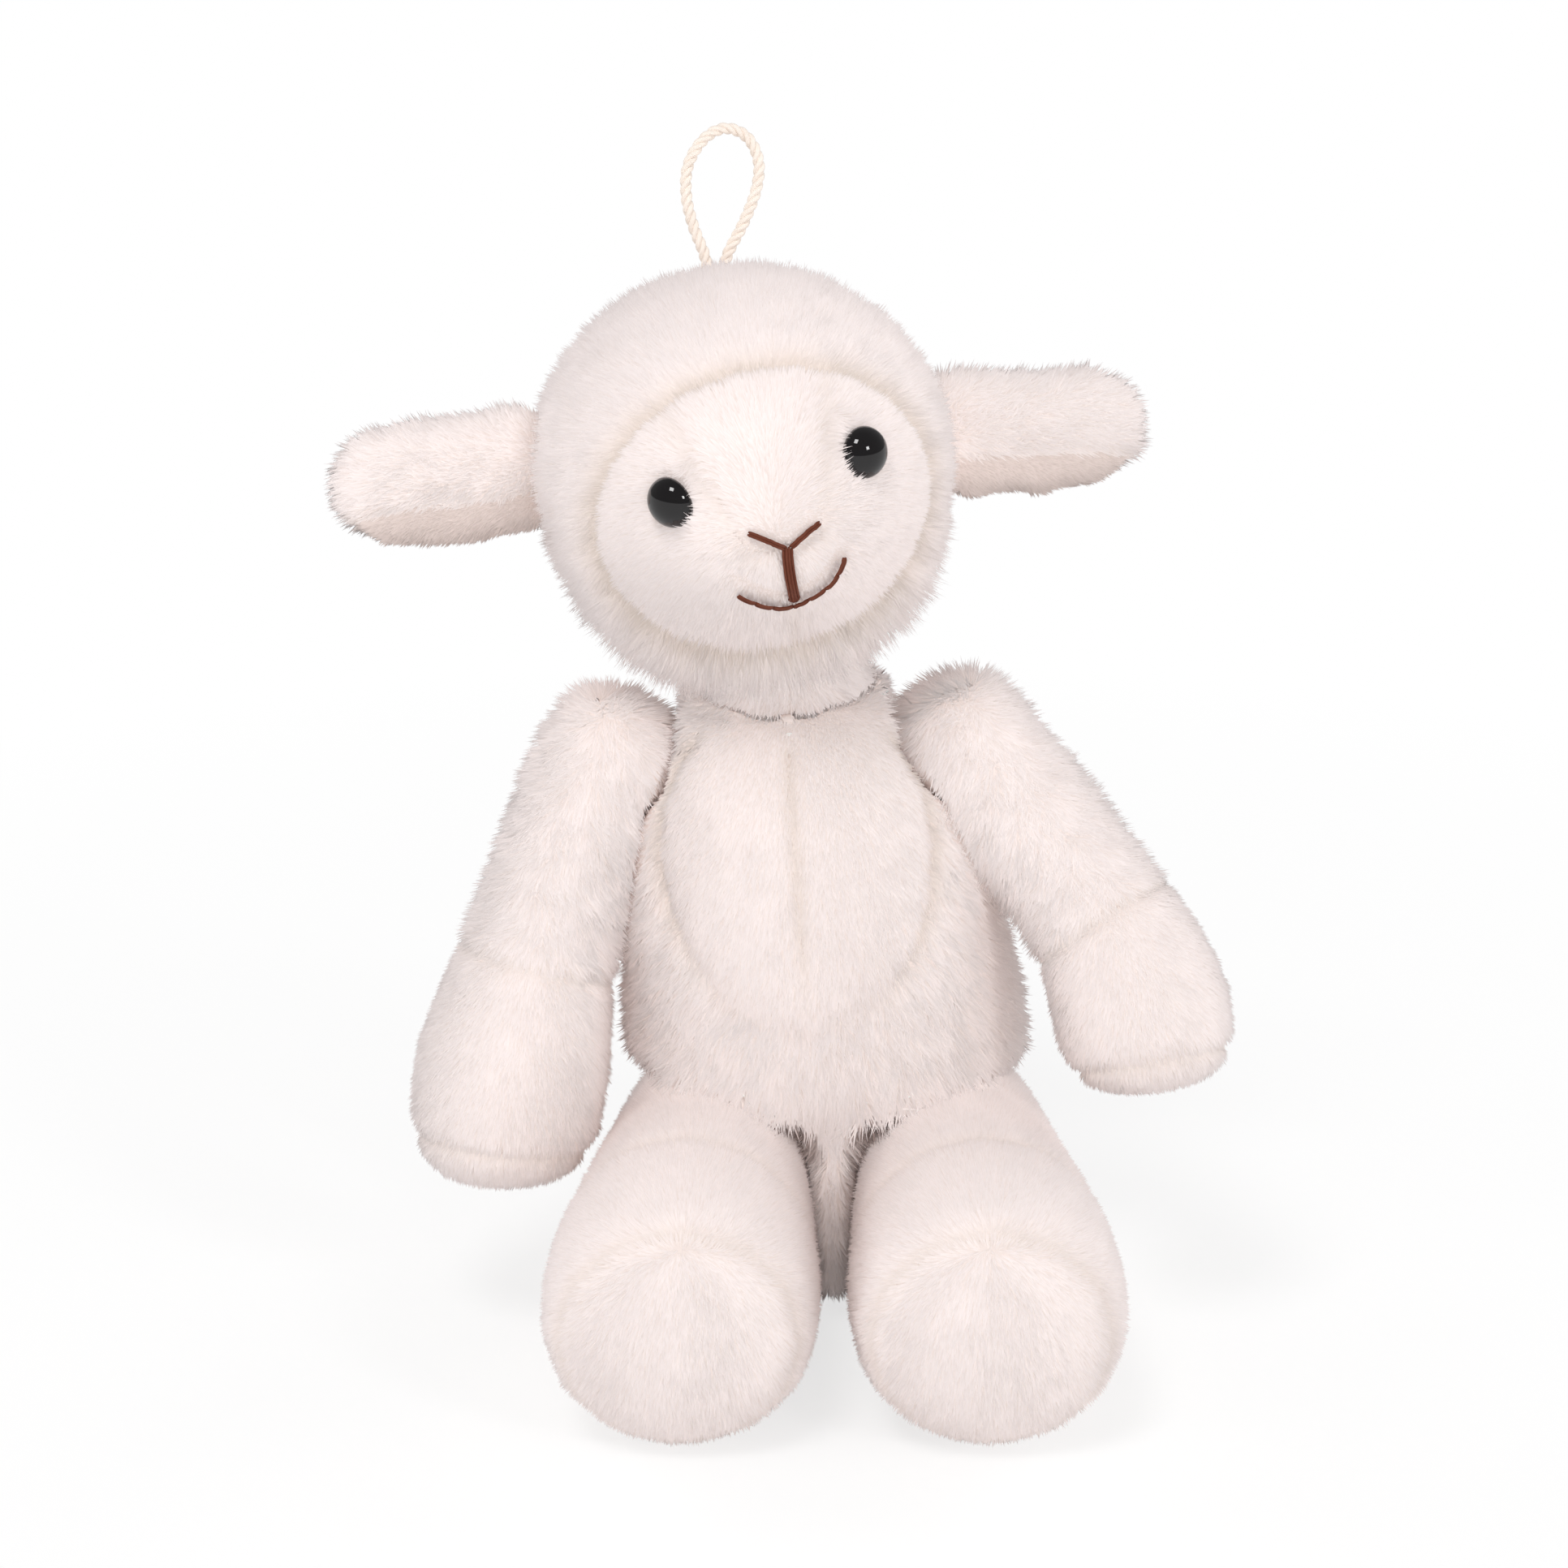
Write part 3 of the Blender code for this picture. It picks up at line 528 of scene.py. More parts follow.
def filled_form(body, rough, room):
    """A body's rough form, drawn in by the depth of its pile and puffed up by its filling."""
    mesh = rough.copy()
    panel, seam, _ = panel_and_seam(body, points_of(mesh))
    depths = np.array([CLOTH_DEPTHS[SLOT_OF[name]] for name in covers_of(body)])[panel]
    if body.startswith("ear"):
        depths = depths * EAR_DEPTH_SHARE
    draw_in(mesh, room, depths)
    fill_out(body, mesh, np.maximum(step_down(seam, 0, HELD_REACH), step_down(room, *FREE_ROOM)))
    store(mesh, "room", room)
    return finer(mesh, body + "_form")


def groove_share(seam):
    """How deep a seam's groove is, as a share, at these distances from the seam."""
    return np.exp(-((seam / SEAM_REACH) ** 2))


def seam_grooves(body, mesh):
    """The panel that each point of a form lies on, and its share of a seam's groove."""
    points = points_of(mesh)
    over = points + normals_of(mesh) * CLOTH_DEPTHS["short_pile_plush"]
    panel, seam, main_seam = panel_and_seam(body, over)
    groove = groove_share(seam)
    if body == "torso":
        groove *= step_up(points[:, 2], *BELLY_FOOT) * step_down(points[:, 2], *BELLY_TOP)
    if body == "head":
        groove *= step_up(distances(solid_tree(STITCHING), points, STITCHING_REACH), *STITCHED_GROOVE)
        groove = np.maximum(groove * FACE_SEAM_SHARE, groove_share(main_seam))
    return panel, groove


def round_eyes(points):
    """Each eye's middle, and as shares, how far each point is under its dome or beside its inner edge."""
    middle, across, _, _ = head_axes()
    for side in SIDES:
        centre, look, radius, _, _ = eye_frame("eye_" + side)
        centre = np.array(centre + EYE_SHIFTS[side])
        inward = np.array(across) * np.sign((middle - Vector(centre)).dot(across))
        out = points - centre
        off = np.linalg.norm(out - np.outer(out @ look, look), axis=1) / radius
        near = np.linalg.norm(out, axis=1) < EYE_PILE_REACH
        under = near * step_down(off, *DOME_EDGE_SHARES)
        edge = near * step_up(off, *DOME_EDGE_SHARES) * step_down(off, *EYE_PILE_SHARES)
        yield centre, under, edge * step_up(unit(out) @ inward, *INNER_SIDE_SHARES)


def comb_over(points, normals, source, fall):
    """The way that the pile lies: away from a source, and down."""
    way = unit(points - np.array(source)) - np.array(Z) * fall
    return unit(way - normals * (way * normals).sum(axis=1, keepdims=True))


def comb_over_eyes(points, normals, comb):
    """Turns the pile beside each eye so that it lies over the eye's inner edge."""
    for centre, _, share in round_eyes(points):
        toward = centre - points
        toward = unit(toward - normals * (toward * normals).sum(axis=1, keepdims=True))
        comb = unit(comb * (1 - share[:, None]) + toward * share[:, None])
    return comb


def torso_pile(points, share):
    """The torso's pile, short between the legs and long in the hem of the belly."""
    front, height = points[:, 1], points[:, 2]
    lap = step_down(height, *LAP_HEIGHT) * step_down(front, *LAP_FRONT)
    hem = step_up(height, *HEM_FOOT) * step_down(height, *HEM_TOP) * step_down(front, *HEM_FRONT)
    return np.maximum(share * (1 - LAP_TRIM_SHARE * lap), HEM_PILE_SHARE * hem)


def head_pile(points, share):
    """The head's pile, short under the stitches and the eyes and long at the eyes' inner edges."""
    sewn = distances(solid_tree(STITCHING), points, STITCHING_REACH)
    share = share * at_least(SEWN_PILE_SHARE, step_up(sewn, *SEWN_PILE))
    for _, under, beside in round_eyes(points):
        share = share * (1 - DOME_TRIM_SHARE * under) * (1 + EYE_PILE_GROWTH_SHARE * beside)
    return share


def pile_share(body, points, room, groove):
    """How long the pile is at each point, as a share of its cloth's."""
    share = at_least(CLOSED_PILE_SHARE, step_up(room, *PILE_ROOM)) * (1 - SEAM_TRIM_SHARE * groove)
    if body.startswith("ear"):
        share = share * EAR_PILE_SHARE
    near_neck = step_down(np.linalg.norm(points - np.array(NECK), axis=1), *RUFF_REACHES)
    share = share * (1 + RUFF_GROWTH_SHARES.get(body, USUAL_RUFF_GROWTH_SHARE) * near_neck)
    if body == "torso":
        share = torso_pile(points, share)
    if body == "head":
        share = head_pile(points, share)
    return share * at_least(FLOOR_PILE_SHARE, step_up(points[:, 2], *FLOOR_PILE))


def make_form(body, rough, room):
    """A body's padded form at its full fineness, with what its pile needs stored on it."""
    mesh = filled_form(body, rough, room)
    panel, groove = seam_grooves(body, mesh)
    dip = groove * SEAM_DIPS.get(body, USUAL_SEAM_DIP)
    points = points_of(mesh) - normals_of(mesh) * dip[:, None]
    points[:, 2] = np.maximum(points[:, 2], CLOTH_THICKNESS)
    place_points(mesh, points)
    normals = normals_of(mesh)
    comb = comb_over(points, normals, *comb_start(body))
    if body == "head":
        comb = comb_over_eyes(points, normals, comb)
    room = stored(mesh, "room")
    store(mesh, "comb", comb)
    store(mesh, "lie_normal", normals)
    # Painted shade in the seams' grooves, as a share of the seam colour
    store(mesh, "crease", groove * SEAM_SHADE_SHARES.get(body, USUAL_SEAM_SHADE_SHARE))
    store(mesh, "pile", pile_share(body, points, room, groove))
    store(mesh, "growth", at_least(CLOSED_GROWTH_SHARE, step_up(room, *GROWTH_ROOM)))
    store(mesh, "panel", panel.astype(float))
    return mesh


def on_panel(face, label, index):
    """Whether a face lies on a panel. A face half on two panels goes to the one with the lower number."""
    panels = [round(corner[label]) for corner in face.verts]
    inside = panels.count(index) * 2
    return inside > len(panels) or (inside == len(panels) and min(panels) == index)


def panel_surface(mesh, index, name):
    """The part of a form that one panel of cloth covers."""
    tool = bmesh.new()
    tool.from_mesh(mesh)
    label = tool.verts.layers.float["panel"]
    others = [face for face in tool.faces if not on_panel(face, label, index)]
    bmesh.ops.delete(tool, geom=others, context="FACES")
    made = bpy.data.meshes.new(name)
    tool.to_mesh(made)
    tool.free()
    return made


def make_cloth(name, surface, material, body):
    """A panel of cloth with a thickness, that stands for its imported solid."""
    made = shown(name + "_cloth", surface.copy())
    thick = made.modifiers.new("thickness", "SOLIDIFY")
    thick.thickness = CLOTH_THICKNESS
    thick.offset = -1
    mesh = finished(made)
    mesh.shade_smooth()
    mesh.materials.append(material)
    made = shown(name + "_cloth", mesh)
    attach(made, body)
    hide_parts(name)


def make_filling(body, rough, room, material):
    """The stuffing inside a body's cloth."""
    names = fillings_of(body)
    if not names:
        return
    mesh = rough.copy()
    draw_in(mesh, room, max(CLOTH_DEPTHS.values()), FILLING_DEPTH)
    mesh.shade_smooth()
    mesh.materials.append(material)
    made = shown(body + "_filling", mesh)
    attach(made, body)
    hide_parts(*names)


def make_fibre():
    """One fibre, a spike with a height of 1 and a radius of a half, open at its foot inside the cloth."""
    turns = [2 * math.pi * i / FIBRE_SIDES for i in range(FIBRE_SIDES)]
    foot = [(math.cos(turn) / 2, math.sin(turn) / 2, 0) for turn in turns]
    faces = [(i, (i + 1) % FIBRE_SIDES, FIBRE_SIDES) for i in range(FIBRE_SIDES)]
    mesh = bpy.data.meshes.new("fibre")
    mesh.from_pydata([*foot, (0, 0, 1)], [], faces)
    store(mesh, "tip", np.array([0.0] * FIBRE_SIDES + [1.0]))
    return shown("fibre", mesh)


def attribute(tree, name, kind="FLOAT"):
    """What a mesh keeps for its points, inside Geometry Nodes."""
    return node(tree, "GeometryNodeInputNamedAttribute", {"Name": name}, data_type=kind).outputs["Attribute"]


def chance(tree, ends, seed):
    """A random number between two ends for each fibre."""
    low, high = ends
    values = {"Min_001": low, "Max_001": high, "Seed": seed}
    return socket(node(tree, "FunctionNodeRandomValue", values, data_type="FLOAT").outputs, "Value_001")


def combed_way(tree, given):
    """The way that each fibre stands: as it is combed, turned aside by tufts and by chance."""

    def vector(operation, a, b):
        return node(tree, "ShaderNodeVectorMath", {0: a, 1: b}, operation=operation).outputs[0]

    def scaled(a, share):
        return node(tree, "ShaderNodeVectorMath", {0: a, "Scale": share}, operation="SCALE").outputs[0]

    noise = node(tree, "ShaderNodeTexNoise", {"Scale": TUFTS_PER_METRE, "Detail": TUFT_DETAIL})
    tuft = vector("SUBTRACT", noise.outputs["Color"], (0.5, 0.5, 0.5))
    ends = {"Min": (-1, -1, -1), "Max": (1, 1, 1), "Seed": STRAY_SEED}
    stray = node(tree, "FunctionNodeRandomValue", ends, data_type="FLOAT_VECTOR").outputs["Value"]
    normal, comb = (attribute(tree, name, "FLOAT_VECTOR") for name in ("lie_normal", "comb"))
    way = scaled(normal, number(tree, "SUBTRACT", 1.0, given["Lean"]))
    way = vector("ADD", way, scaled(comb, given["Lean"]))
    way = vector("ADD", way, scaled(tuft, number(tree, "MULTIPLY", given["Tufts"], 2.0)))
    return vector("ADD", way, scaled(stray, given["Stray"]))


def pile_tree():
    """Geometry Nodes that grow a pile on a panel of cloth."""
    inputs = {"Geometry": "Geometry", "Fibre": "Object"}
    inputs |= {name: "Float" for name in PILES["long_pile_plush"]}
    inputs |= {"Seed": "Int", "Material": "Material"}
    tree, given = new_group("plush_pile", "GeometryNodeTree", inputs, {"Geometry": "Geometry"})
    where = {
        "Mesh": given["Geometry"],
        "Density": number(tree, "MULTIPLY", given["Density"], attribute(tree, "growth")),
        "Seed": given["Seed"],
    }
    grown = node(tree, "GeometryNodeDistributePointsOnFaces", where)
    stand = node(tree, "FunctionNodeAlignRotationToVector", {"Vector": combed_way(tree, given)}, axis="Z")
    share = number(tree, "MULTIPLY", attribute(tree, "pile"), chance(tree, LENGTH_SHARES, LENGTH_SEED))
    length = number(tree, "MULTIPLY", given["Length"], share)
    width = number(tree, "MULTIPLY", given["Width"], chance(tree, WIDTH_SHARES, WIDTH_SEED))
    size = node(tree, "ShaderNodeCombineXYZ", {"X": width, "Y": width, "Z": length})
    shade = {"Geometry": grown.outputs["Points"], "Name": "fibre", "Value": chance(tree, (0, 1), SHADE_SEED)}
    marked = node(tree, "GeometryNodeStoreNamedAttribute", shade, data_type="FLOAT", domain="POINT")
    fibre = node(tree, "GeometryNodeObjectInfo", {"Object": given["Fibre"]})
    placing = {
        "Points": marked.outputs[0],
        "Instance": fibre.outputs["Geometry"],
        "Rotation": stand.outputs[0],
        "Scale": size.outputs[0],
    }
    placed = node(tree, "GeometryNodeInstanceOnPoints", placing)
    real = node(tree, "GeometryNodeRealizeInstances", {"Geometry": placed.outputs[0]})
    painting = {"Geometry": real.outputs[0], "Material": given["Material"]}
    painted = node(tree, "GeometryNodeSetMaterial", painting)
    node(tree, "NodeGroupOutput", {"Geometry": painted.outputs[0]})
    return tree


def lit_normals(mesh):
    """The normals that light a pile: the cloth's, turned the way the pile lies, round across a fibre."""
    corners = FIBRE_SIDES + 1
    lie = stored(mesh, "lie_normal", True) + LIT_LEAN * stored(mesh, "comb", True)
    lie = unit(lie).reshape(-1, corners, 3)
    feet = points_of(mesh).reshape(-1, corners, 3)[:, :FIBRE_SIDES]
    aside = unit((feet - feet.mean(axis=1, keepdims=True)).reshape(-1, 3)).reshape(-1, FIBRE_SIDES, 3)
    lie[:, :FIBRE_SIDES] += aside * FIBRE_ROUNDNESS
    return unit(lie.reshape(-1, 3))


def make_pile(name, surface, tree, fibre, material, body, seed):
    """The pile of a panel, one plain mesh of fibres, lit as the cloth under it is."""
    values = {**PILES[SLOT_OF[name]], "Fibre": fibre, "Seed": seed, "Material": material}
    if name == LARGEST_PANEL:
        values["Density"] *= LARGEST_NUMBER_SHARE
        values["Width"] *= LARGEST_WIDTH_SHARE
    made = shown(name + "_pile", surface.copy())
    grow = made.modifiers.new("pile", "NODES")
    grow.node_group = tree
    for item in tree.interface.items_tree:
        if item.in_out == "INPUT" and item.name in values:
            grow[item.identifier] = values[item.name]
    mesh = finished(made)
    points = points_of(mesh)
    points[:, 2] = np.maximum(points[:, 2], FLOOR_CLEARANCE)
    place_points(mesh, points)
    mesh.shade_smooth()
    mesh.normals_split_custom_set_from_vertices(lit_normals(mesh))
    made = shown(name + "_pile", mesh)
    # The cloth under the pile gives the shadows and the bounced light.
    made.visible_shadow = False
    made.visible_diffuse = False
    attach(made, body)


def smooth_route(points, steps):
    """Points on a Catmull-Rom curve through the route's own points."""
    route = []
    for i in range(len(points) - 1):
        before, a, b, after = (points[max(0, min(j, len(points) - 1))] for j in range(i - 1, i + 3))
        for k in range(steps):
            t = k / steps
            bend = (2 * a + (b - before) * t + (2 * before - 5 * a + 4 * b - after) * t**2) / 2
            route.append(bend + (3 * a - 3 * b + after - before) * t**3 / 2)
    return route + [points[-1]]


def even_route(route, step):
    """The same route with its points a step apart."""
    points = np.array(route)
    along = np.concatenate([[0], np.cumsum(np.linalg.norm(np.diff(points, axis=0), axis=1))])
    places = np.linspace(0, along[-1], max(2, round(along[-1] / step) + 1))
    columns = [np.interp(places, along, points[:, k]) for k in range(3)]
    return [Vector(point) for point in np.stack(columns, axis=1)]


def frames_along(route, up):
    """Two square directions across a route at each of its points. The first stays close to up."""
    for i in range(len(route)):
        ahead = (route[min(i + 1, len(route) - 1)] - route[max(i - 1, 0)]).normalized()
        guide = up[i] if isinstance(up, list) else up
        first = (guide - ahead * guide.dot(ahead)).normalized()
        yield first, ahead.cross(first)


def around(first, second, angle):
    """The direction at an angle from the first of two square ones."""
    return first * math.cos(angle) + second * math.sin(angle)


def join_rings(tool, a, b):
    """A band of faces between two rings of points."""
    for k in range(len(a)):
        after = (k + 1) % len(a)
        tool.faces.new((a[k], a[after], b[after], b[k]))


def add_thread(tool, route, up, radius, sides, turn=None):
    """A thread along a route. A turn of (radius, pitch, start) winds it round the route."""
    rings = []
    along = 0
    for i, (first, second) in enumerate(frames_along(route, up)):
        along += (route[i] - route[i - 1]).length if i else 0
        middle = route[i]
        if turn:
            turn_radius, pitch, start = turn
            middle = middle + around(first, second, start + 2 * math.pi * along / pitch) * turn_radius
        width = radius * (THREAD_END_SHARE if i in (0, len(route) - 1) else 1)
        angles = [2 * math.pi * k / sides for k in range(sides)]
        rings.append([tool.verts.new(middle + around(first, second, angle) * width) for angle in angles])
    for a, b in zip(rings, rings[1:]):
        join_rings(tool, a, b)
    tool.faces.new(rings[0][::-1])
    tool.faces.new(rings[-1])


def made_from(tool, name, material):
    """The piece that a mesh tool has made, smooth and facing outwards."""
    bmesh.ops.recalc_face_normals(tool, faces=tool.faces)
    mesh = bpy.data.meshes.new(name)
    tool.to_mesh(mesh)
    tool.free()
    mesh.shade_smooth()
    mesh.materials.append(material)
    return shown(name, mesh)


def cloud_group():
    """Soft noise over a piece's own coordinates, that several finishes use."""
    inputs = {"Patches per Metre": "Float", "Detail": "Float"}
    tree, given = new_group("cloud", "ShaderNodeTree", inputs, {"Share": "Float"})
    values = {
        "Vector": node(tree, "ShaderNodeTexCoord").outputs["Object"],
        "Scale": given["Patches per Metre"],
        "Detail": given["Detail"],
    }
    noise = node(tree, "ShaderNodeTexNoise", values)
    node(tree, "NodeGroupOutput", {"Share": noise.outputs["Fac"]})
    return tree


def cloud(tree, patches, detail=USUAL_DETAIL):
    """The group of soft noise, placed in a tree with its own values."""
    values = {"Patches per Metre": patches, "Detail": detail}
    return node(tree, "ShaderNodeGroup", values, node_tree=CLOUD).outputs["Share"]


def mixed_colour(tree, share, a, b, blend="MIX"):
    """A colour between a and b, either of which may be a socket."""
    ends = {"Factor_Float": share, "A_Color": a, "B_Color": b}
    made = node(tree, "ShaderNodeMix", ends, data_type="RGBA", blend_type=blend)
    return socket(made.outputs, "Result_Color")


def fibre_colour_group():
    """The colour of pile: fibres lighter or darker by chance, with painted shade at the root and painted shade in
    the seams' grooves.
    """
    inputs = {name: "Color" for name in ("Tip", "Root", "Seam")}
    tree, given = new_group("fibre_colour", "ShaderNodeTree", inputs, {"Colour": "Color"})

    def fact(name):
        return node(tree, "ShaderNodeAttribute", attribute_name=name).outputs["Fac"]

    # Painted shade: the roots, and the cloth under the pile, which keeps no tip, take the darker root colour.
    root_shaded = mixed_colour(tree, fact("tip"), given["Root"], given["Tip"])
    # Painted shade in the seams' grooves: the seam colour, mixed in by the groove's share
    seam_shaded = mixed_colour(tree, fact("crease"), root_shaded, given["Seam"])
    wave = number(tree, "ADD", fact("fibre"), cloud(tree, PLUSH_PATCHES_PER_METRE))
    low, high = PLUSH_LIGHTNESS_SHARES
    ends = {"Value": wave, "From Max": 2.0, "To Min": low, "To Max": high}
    light = node(tree, "ShaderNodeMapRange", ends)
    node(tree, "NodeGroupOutput", {"Colour": mixed_colour(tree, 1.0, seam_shaded, light.outputs[0], "MULTIPLY")})
    return tree


def plain_shader(name, colour, roughness):
    """A material and its Principled shader."""
    made = bpy.data.materials.new(name)
    made.use_nodes = True
    shader = made.node_tree.nodes["Principled BSDF"]
    shader.inputs["Base Color"].default_value = (*colour, 1)
    shader.inputs["Roughness"].default_value = roughness
    return made, shader


def plush_material(name):
    """Soft pile without gloss."""
    # The root and seam colours are painted shade, at the fibres' roots and in the seams' grooves.
    tip, root, seam = PLUSH_COLOURS_AND_SHADES[name]
    made, shader = plain_shader(name, tip, PLUSH_ROUGHNESS)
    shader.inputs["Specular IOR Level"].default_value = 0
    tree = made.node_tree
    colours = {"Tip": (*tip, 1), "Root": (*root, 1), "Seam": (*seam, 1)}
    painted = node(tree, "ShaderNodeGroup", colours, node_tree=FIBRE_COLOUR)
    tree.links.new(painted.outputs["Colour"], shader.inputs["Base Color"])
    return made


def thread_material(name):
    """Spun thread: fine strands across it, little gloss, and uneven dye."""
    dark, light, strands = THREADS[name]
    made, shader = plain_shader(name, dark, THREAD_ROUGHNESS)
    shader.inputs["Specular IOR Level"].default_value = THREAD_GLOSS_SHARE
    tree = made.node_tree
    dye = mixed_colour(tree, cloud(tree, strands * THREAD_DYE_SHARE), (*dark, 1), (*light, 1))
    tree.links.new(dye, shader.inputs["Base Color"])
    height = cloud(tree, strands, THREAD_DETAIL)
    values = {"Height": height, "Strength": THREAD_BUMP_SHARE, "Distance": THREAD_BUMP}
    bump = node(tree, "ShaderNodeBump", values)
    tree.links.new(bump.outputs["Normal"], shader.inputs["Normal"])
    return made


def plastic_material(name):
    """Moulded plastic, very slightly uneven in its gloss."""
    colour, roughness, uneven = PLASTICS[name]
    made, shader = plain_shader(name, colour, roughness)
    tree = made.node_tree
    patches = cloud(tree, PLASTIC_PATCHES_PER_METRE)
    ends = {"Value": patches, "To Min": roughness, "To Max": roughness + uneven}
    tree.links.new(node(tree, "ShaderNodeMapRange", ends).outputs[0], shader.inputs["Roughness"])
    return made


def make_camera():
    """The camera of the photograph."""
    data = bpy.data.cameras.new("camera")
    data.sensor_width = SENSOR
    data.lens = SENSOR * CAMERA_DISTANCE / (PHOTO_PIXELS * PIXEL)
    made = shown("camera", data)
    made.location = CAMERA_EYE
    made.rotation_euler = (math.pi / 2 - CAMERA_ELEVATION, 0, 0)
    SCENE.camera = made


def make_lamp(name, place, size, share, mirrored):
    """A square lamp that gives a share of the light at which a colour renders as written."""
    way = LAMP_AIM - Vector(place)
    data = bpy.data.lights.new(name, "AREA")
    data.shape = "SQUARE"
    data.size = size
    data.energy = share * (math.pi * way.length) ** 2
    made = shown(name, data)
    made.location = place
    made.rotation_euler = way.to_track_quat("-Z", "Y").to_euler()
    made.visible_glossy = mirrored


def seen_share(tree):
    """1 for what the camera sees straight or through a reflection, and 0 for other light."""
    path = node(tree, "ShaderNodeLightPath").outputs
    either = number(tree, "MAXIMUM", path["Is Camera Ray"], path["Is Glossy Ray"])
    return number(tree, "MAXIMUM", either, path["Is Transmission Ray"])


def floor_material():
    """A white floor that keeps the sheep's shadow near it and is plain white further off."""
    made, shader = plain_shader("studio_floor", FLOOR_COLOUR, 1.0)
    tree = made.node_tree
    white = node(tree, "ShaderNodeEmission", {"Color": WHITE, "Strength": 1.0})
    place = node(tree, "ShaderNodeTexCoord").outputs["Object"]
    away = node(tree, "ShaderNodeVectorMath", {0: place}, operation="LENGTH").outputs["Value"]
    ends = {"Value": away, "From Min": FLOOR_NEAR, "From Max": FLOOR_FAR, "To Min": FLOOR_GLOW_SHARE}
    share = node(tree, "ShaderNodeMapRange", ends).outputs[0]
    factor = number(tree, "MULTIPLY", share, seen_share(tree))
    blend = node(tree, "ShaderNodeMixShader", {0: factor, 1: shader.outputs[0], 2: white.outputs[0]})
    tree.links.new(blend.outputs[0], tree.nodes["Material Output"].inputs["Surface"])
    return made


def make_world():
    """Even light from all round, that the camera sees as white."""
    world = bpy.data.worlds.new("studio")
    world.use_nodes = True
    tree = world.node_tree
    background = tree.nodes["Background"]
    background.inputs["Color"].default_value = WHITE
    seen = node(tree, "ShaderNodeLightPath").outputs["Is Camera Ray"]
    strength = node(tree, "ShaderNodeMapRange", {"Value": seen, "To Min": WORLD_STRENGTH, "To Max": 1.0})
    tree.links.new(strength.outputs[0], background.inputs["Strength"])
    SCENE.world = world


def make_stage():
    """A white floor, a little even light, and soft lamps all round."""
    side = FLOOR_SIDE / 2
    corners = [(-side, -side, 0), (side, -side, 0), (side, side, 0), (-side, side, 0)]
    mesh = bpy.data.meshes.new("floor")
    mesh.from_pydata(corners, [], [(0, 1, 2, 3)])
    mesh.materials.append(floor_material())
    shown("floor", mesh)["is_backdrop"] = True
    make_world()
    SCENE.view_settings.view_transform = "Standard"
    for name, facts in LAMPS.items():
        make_lamp(name, *facts)


def head_axes():
    """The middle of the head between the ears, and its own X, Y and Z, from its joints."""
    left, right = JOINTS["ear_left"], JOINTS["ear_right"]
    middle = (Vector(left["pos_m"]) + Vector(right["pos_m"])) / 2
    across = Vector(JOINTS["head_nod"]["axis"]).normalized()
    up = (Vector(left["axis"]) + Vector(right["axis"])).normalized()
    return middle, across, up.cross(across).normalized(), up


def comb_start(body):
    """The point that a body's pile is combed away from, and the share by which it also falls."""
    middle, _, back, up = head_axes()
    kind, _, side = body.partition("_")
    if kind == "head":
        start = middle - back * NOSE_REACH - up * NOSE_DROP
    elif kind == "torso":
        start = NECK
    elif kind == "neck":
        start = NECK + Z * NECK_COMB_RISE
    elif kind == "ear":
        start = Vector(JOINTS[body]["pos_m"]).lerp(middle, EAR_COMB_SHARE)
    elif kind == "arm":
        start = Vector(JOINTS["shoulder_" + side]["pos_m"]) + Z * ARM_COMB_RISE
    else:
        start = Vector(JOINTS["hip_" + side]["pos_m"]) + LEG_COMB_START
    return start, FALL_SHARES[kind]


def make_loop():
    """The hanging loop, a cord of wound strands whose two ends are sewn into the crown."""
    middle, across, back, up = head_axes()
    root = middle + across * LOOP_ROOT.x + back * LOOP_ROOT.y + up * LOOP_ROOT.z
    points = [root + (across * side + up * rise) * LOOP_HEIGHT for side, rise in LOOP_POINT_SHARES]
    route = smooth_route(points, LOOP_STEPS)
    tool = bmesh.new()
    for strand in range(STRANDS):
        turn = (STRAND_TURN_RADIUS, STRAND_PITCH, 2 * math.pi * strand / STRANDS)
        add_thread(tool, route, back, STRAND_RADIUS, STRAND_SIDES, turn)
    made = made_from(tool, "hanging_loop_strands", thread_material("cream_cord"))
    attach(made, "head")
    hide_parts("hanging_loop")
    length = sum((b - a).length for a, b in zip(route, route[1:]))
    tuple(route[0])
    [tuple(point) for point in route]


def way_through(pixel):
    """The way from the camera through a pixel of the photograph."""
    column, row = (value - PHOTO_PIXELS / 2 for value in pixel)
    return (CAMERA_TARGET + (X * column - CAMERA_UP * row) * PIXEL - CAMERA_EYE).normalized()


def sewn_route(pixels, skin):
    """A route over the skin through pixels of the photograph, with the skin's normals along it."""
    points = [skin.ray_cast(CAMERA_EYE, way_through(pixel))[0] for pixel in pixels]
    route = even_route(smooth_route(points, ROUTE_STEPS), THREAD_STEP)
    normals = [skin.find_nearest(point)[1] for point in route]
    return route, normals


def sew(tool, route, normals, threads, lift):
    """A flat bundle of threads along a route, lifted off the skin and dipping into it at both ends."""
    for thread in range(threads):
        shift = (thread - (threads - 1) / 2) * THREAD_SPACING_SHARE * THREAD_RADIUS
        line = []
        for i, (_, aside) in enumerate(frames_along(route, normals)):
            inside = min(i, len(route) - 1 - i) / STITCH_DIP_STEPS
            rise = lift - abs(shift) * THREAD_SLOPE_SHARE - STITCH_DIP * max(0, 1 - inside) ** 2
            line.append(route[i] + aside * shift + normals[i] * rise)
        short = abs(2 * thread - threads + 1) // 2
        kept = slice(short, len(line) - short) if len(line) > 2 * short + LEAST_POINTS else slice(None)
        add_thread(tool, line[kept], normals[kept], THREAD_RADIUS, THREAD_SIDES)


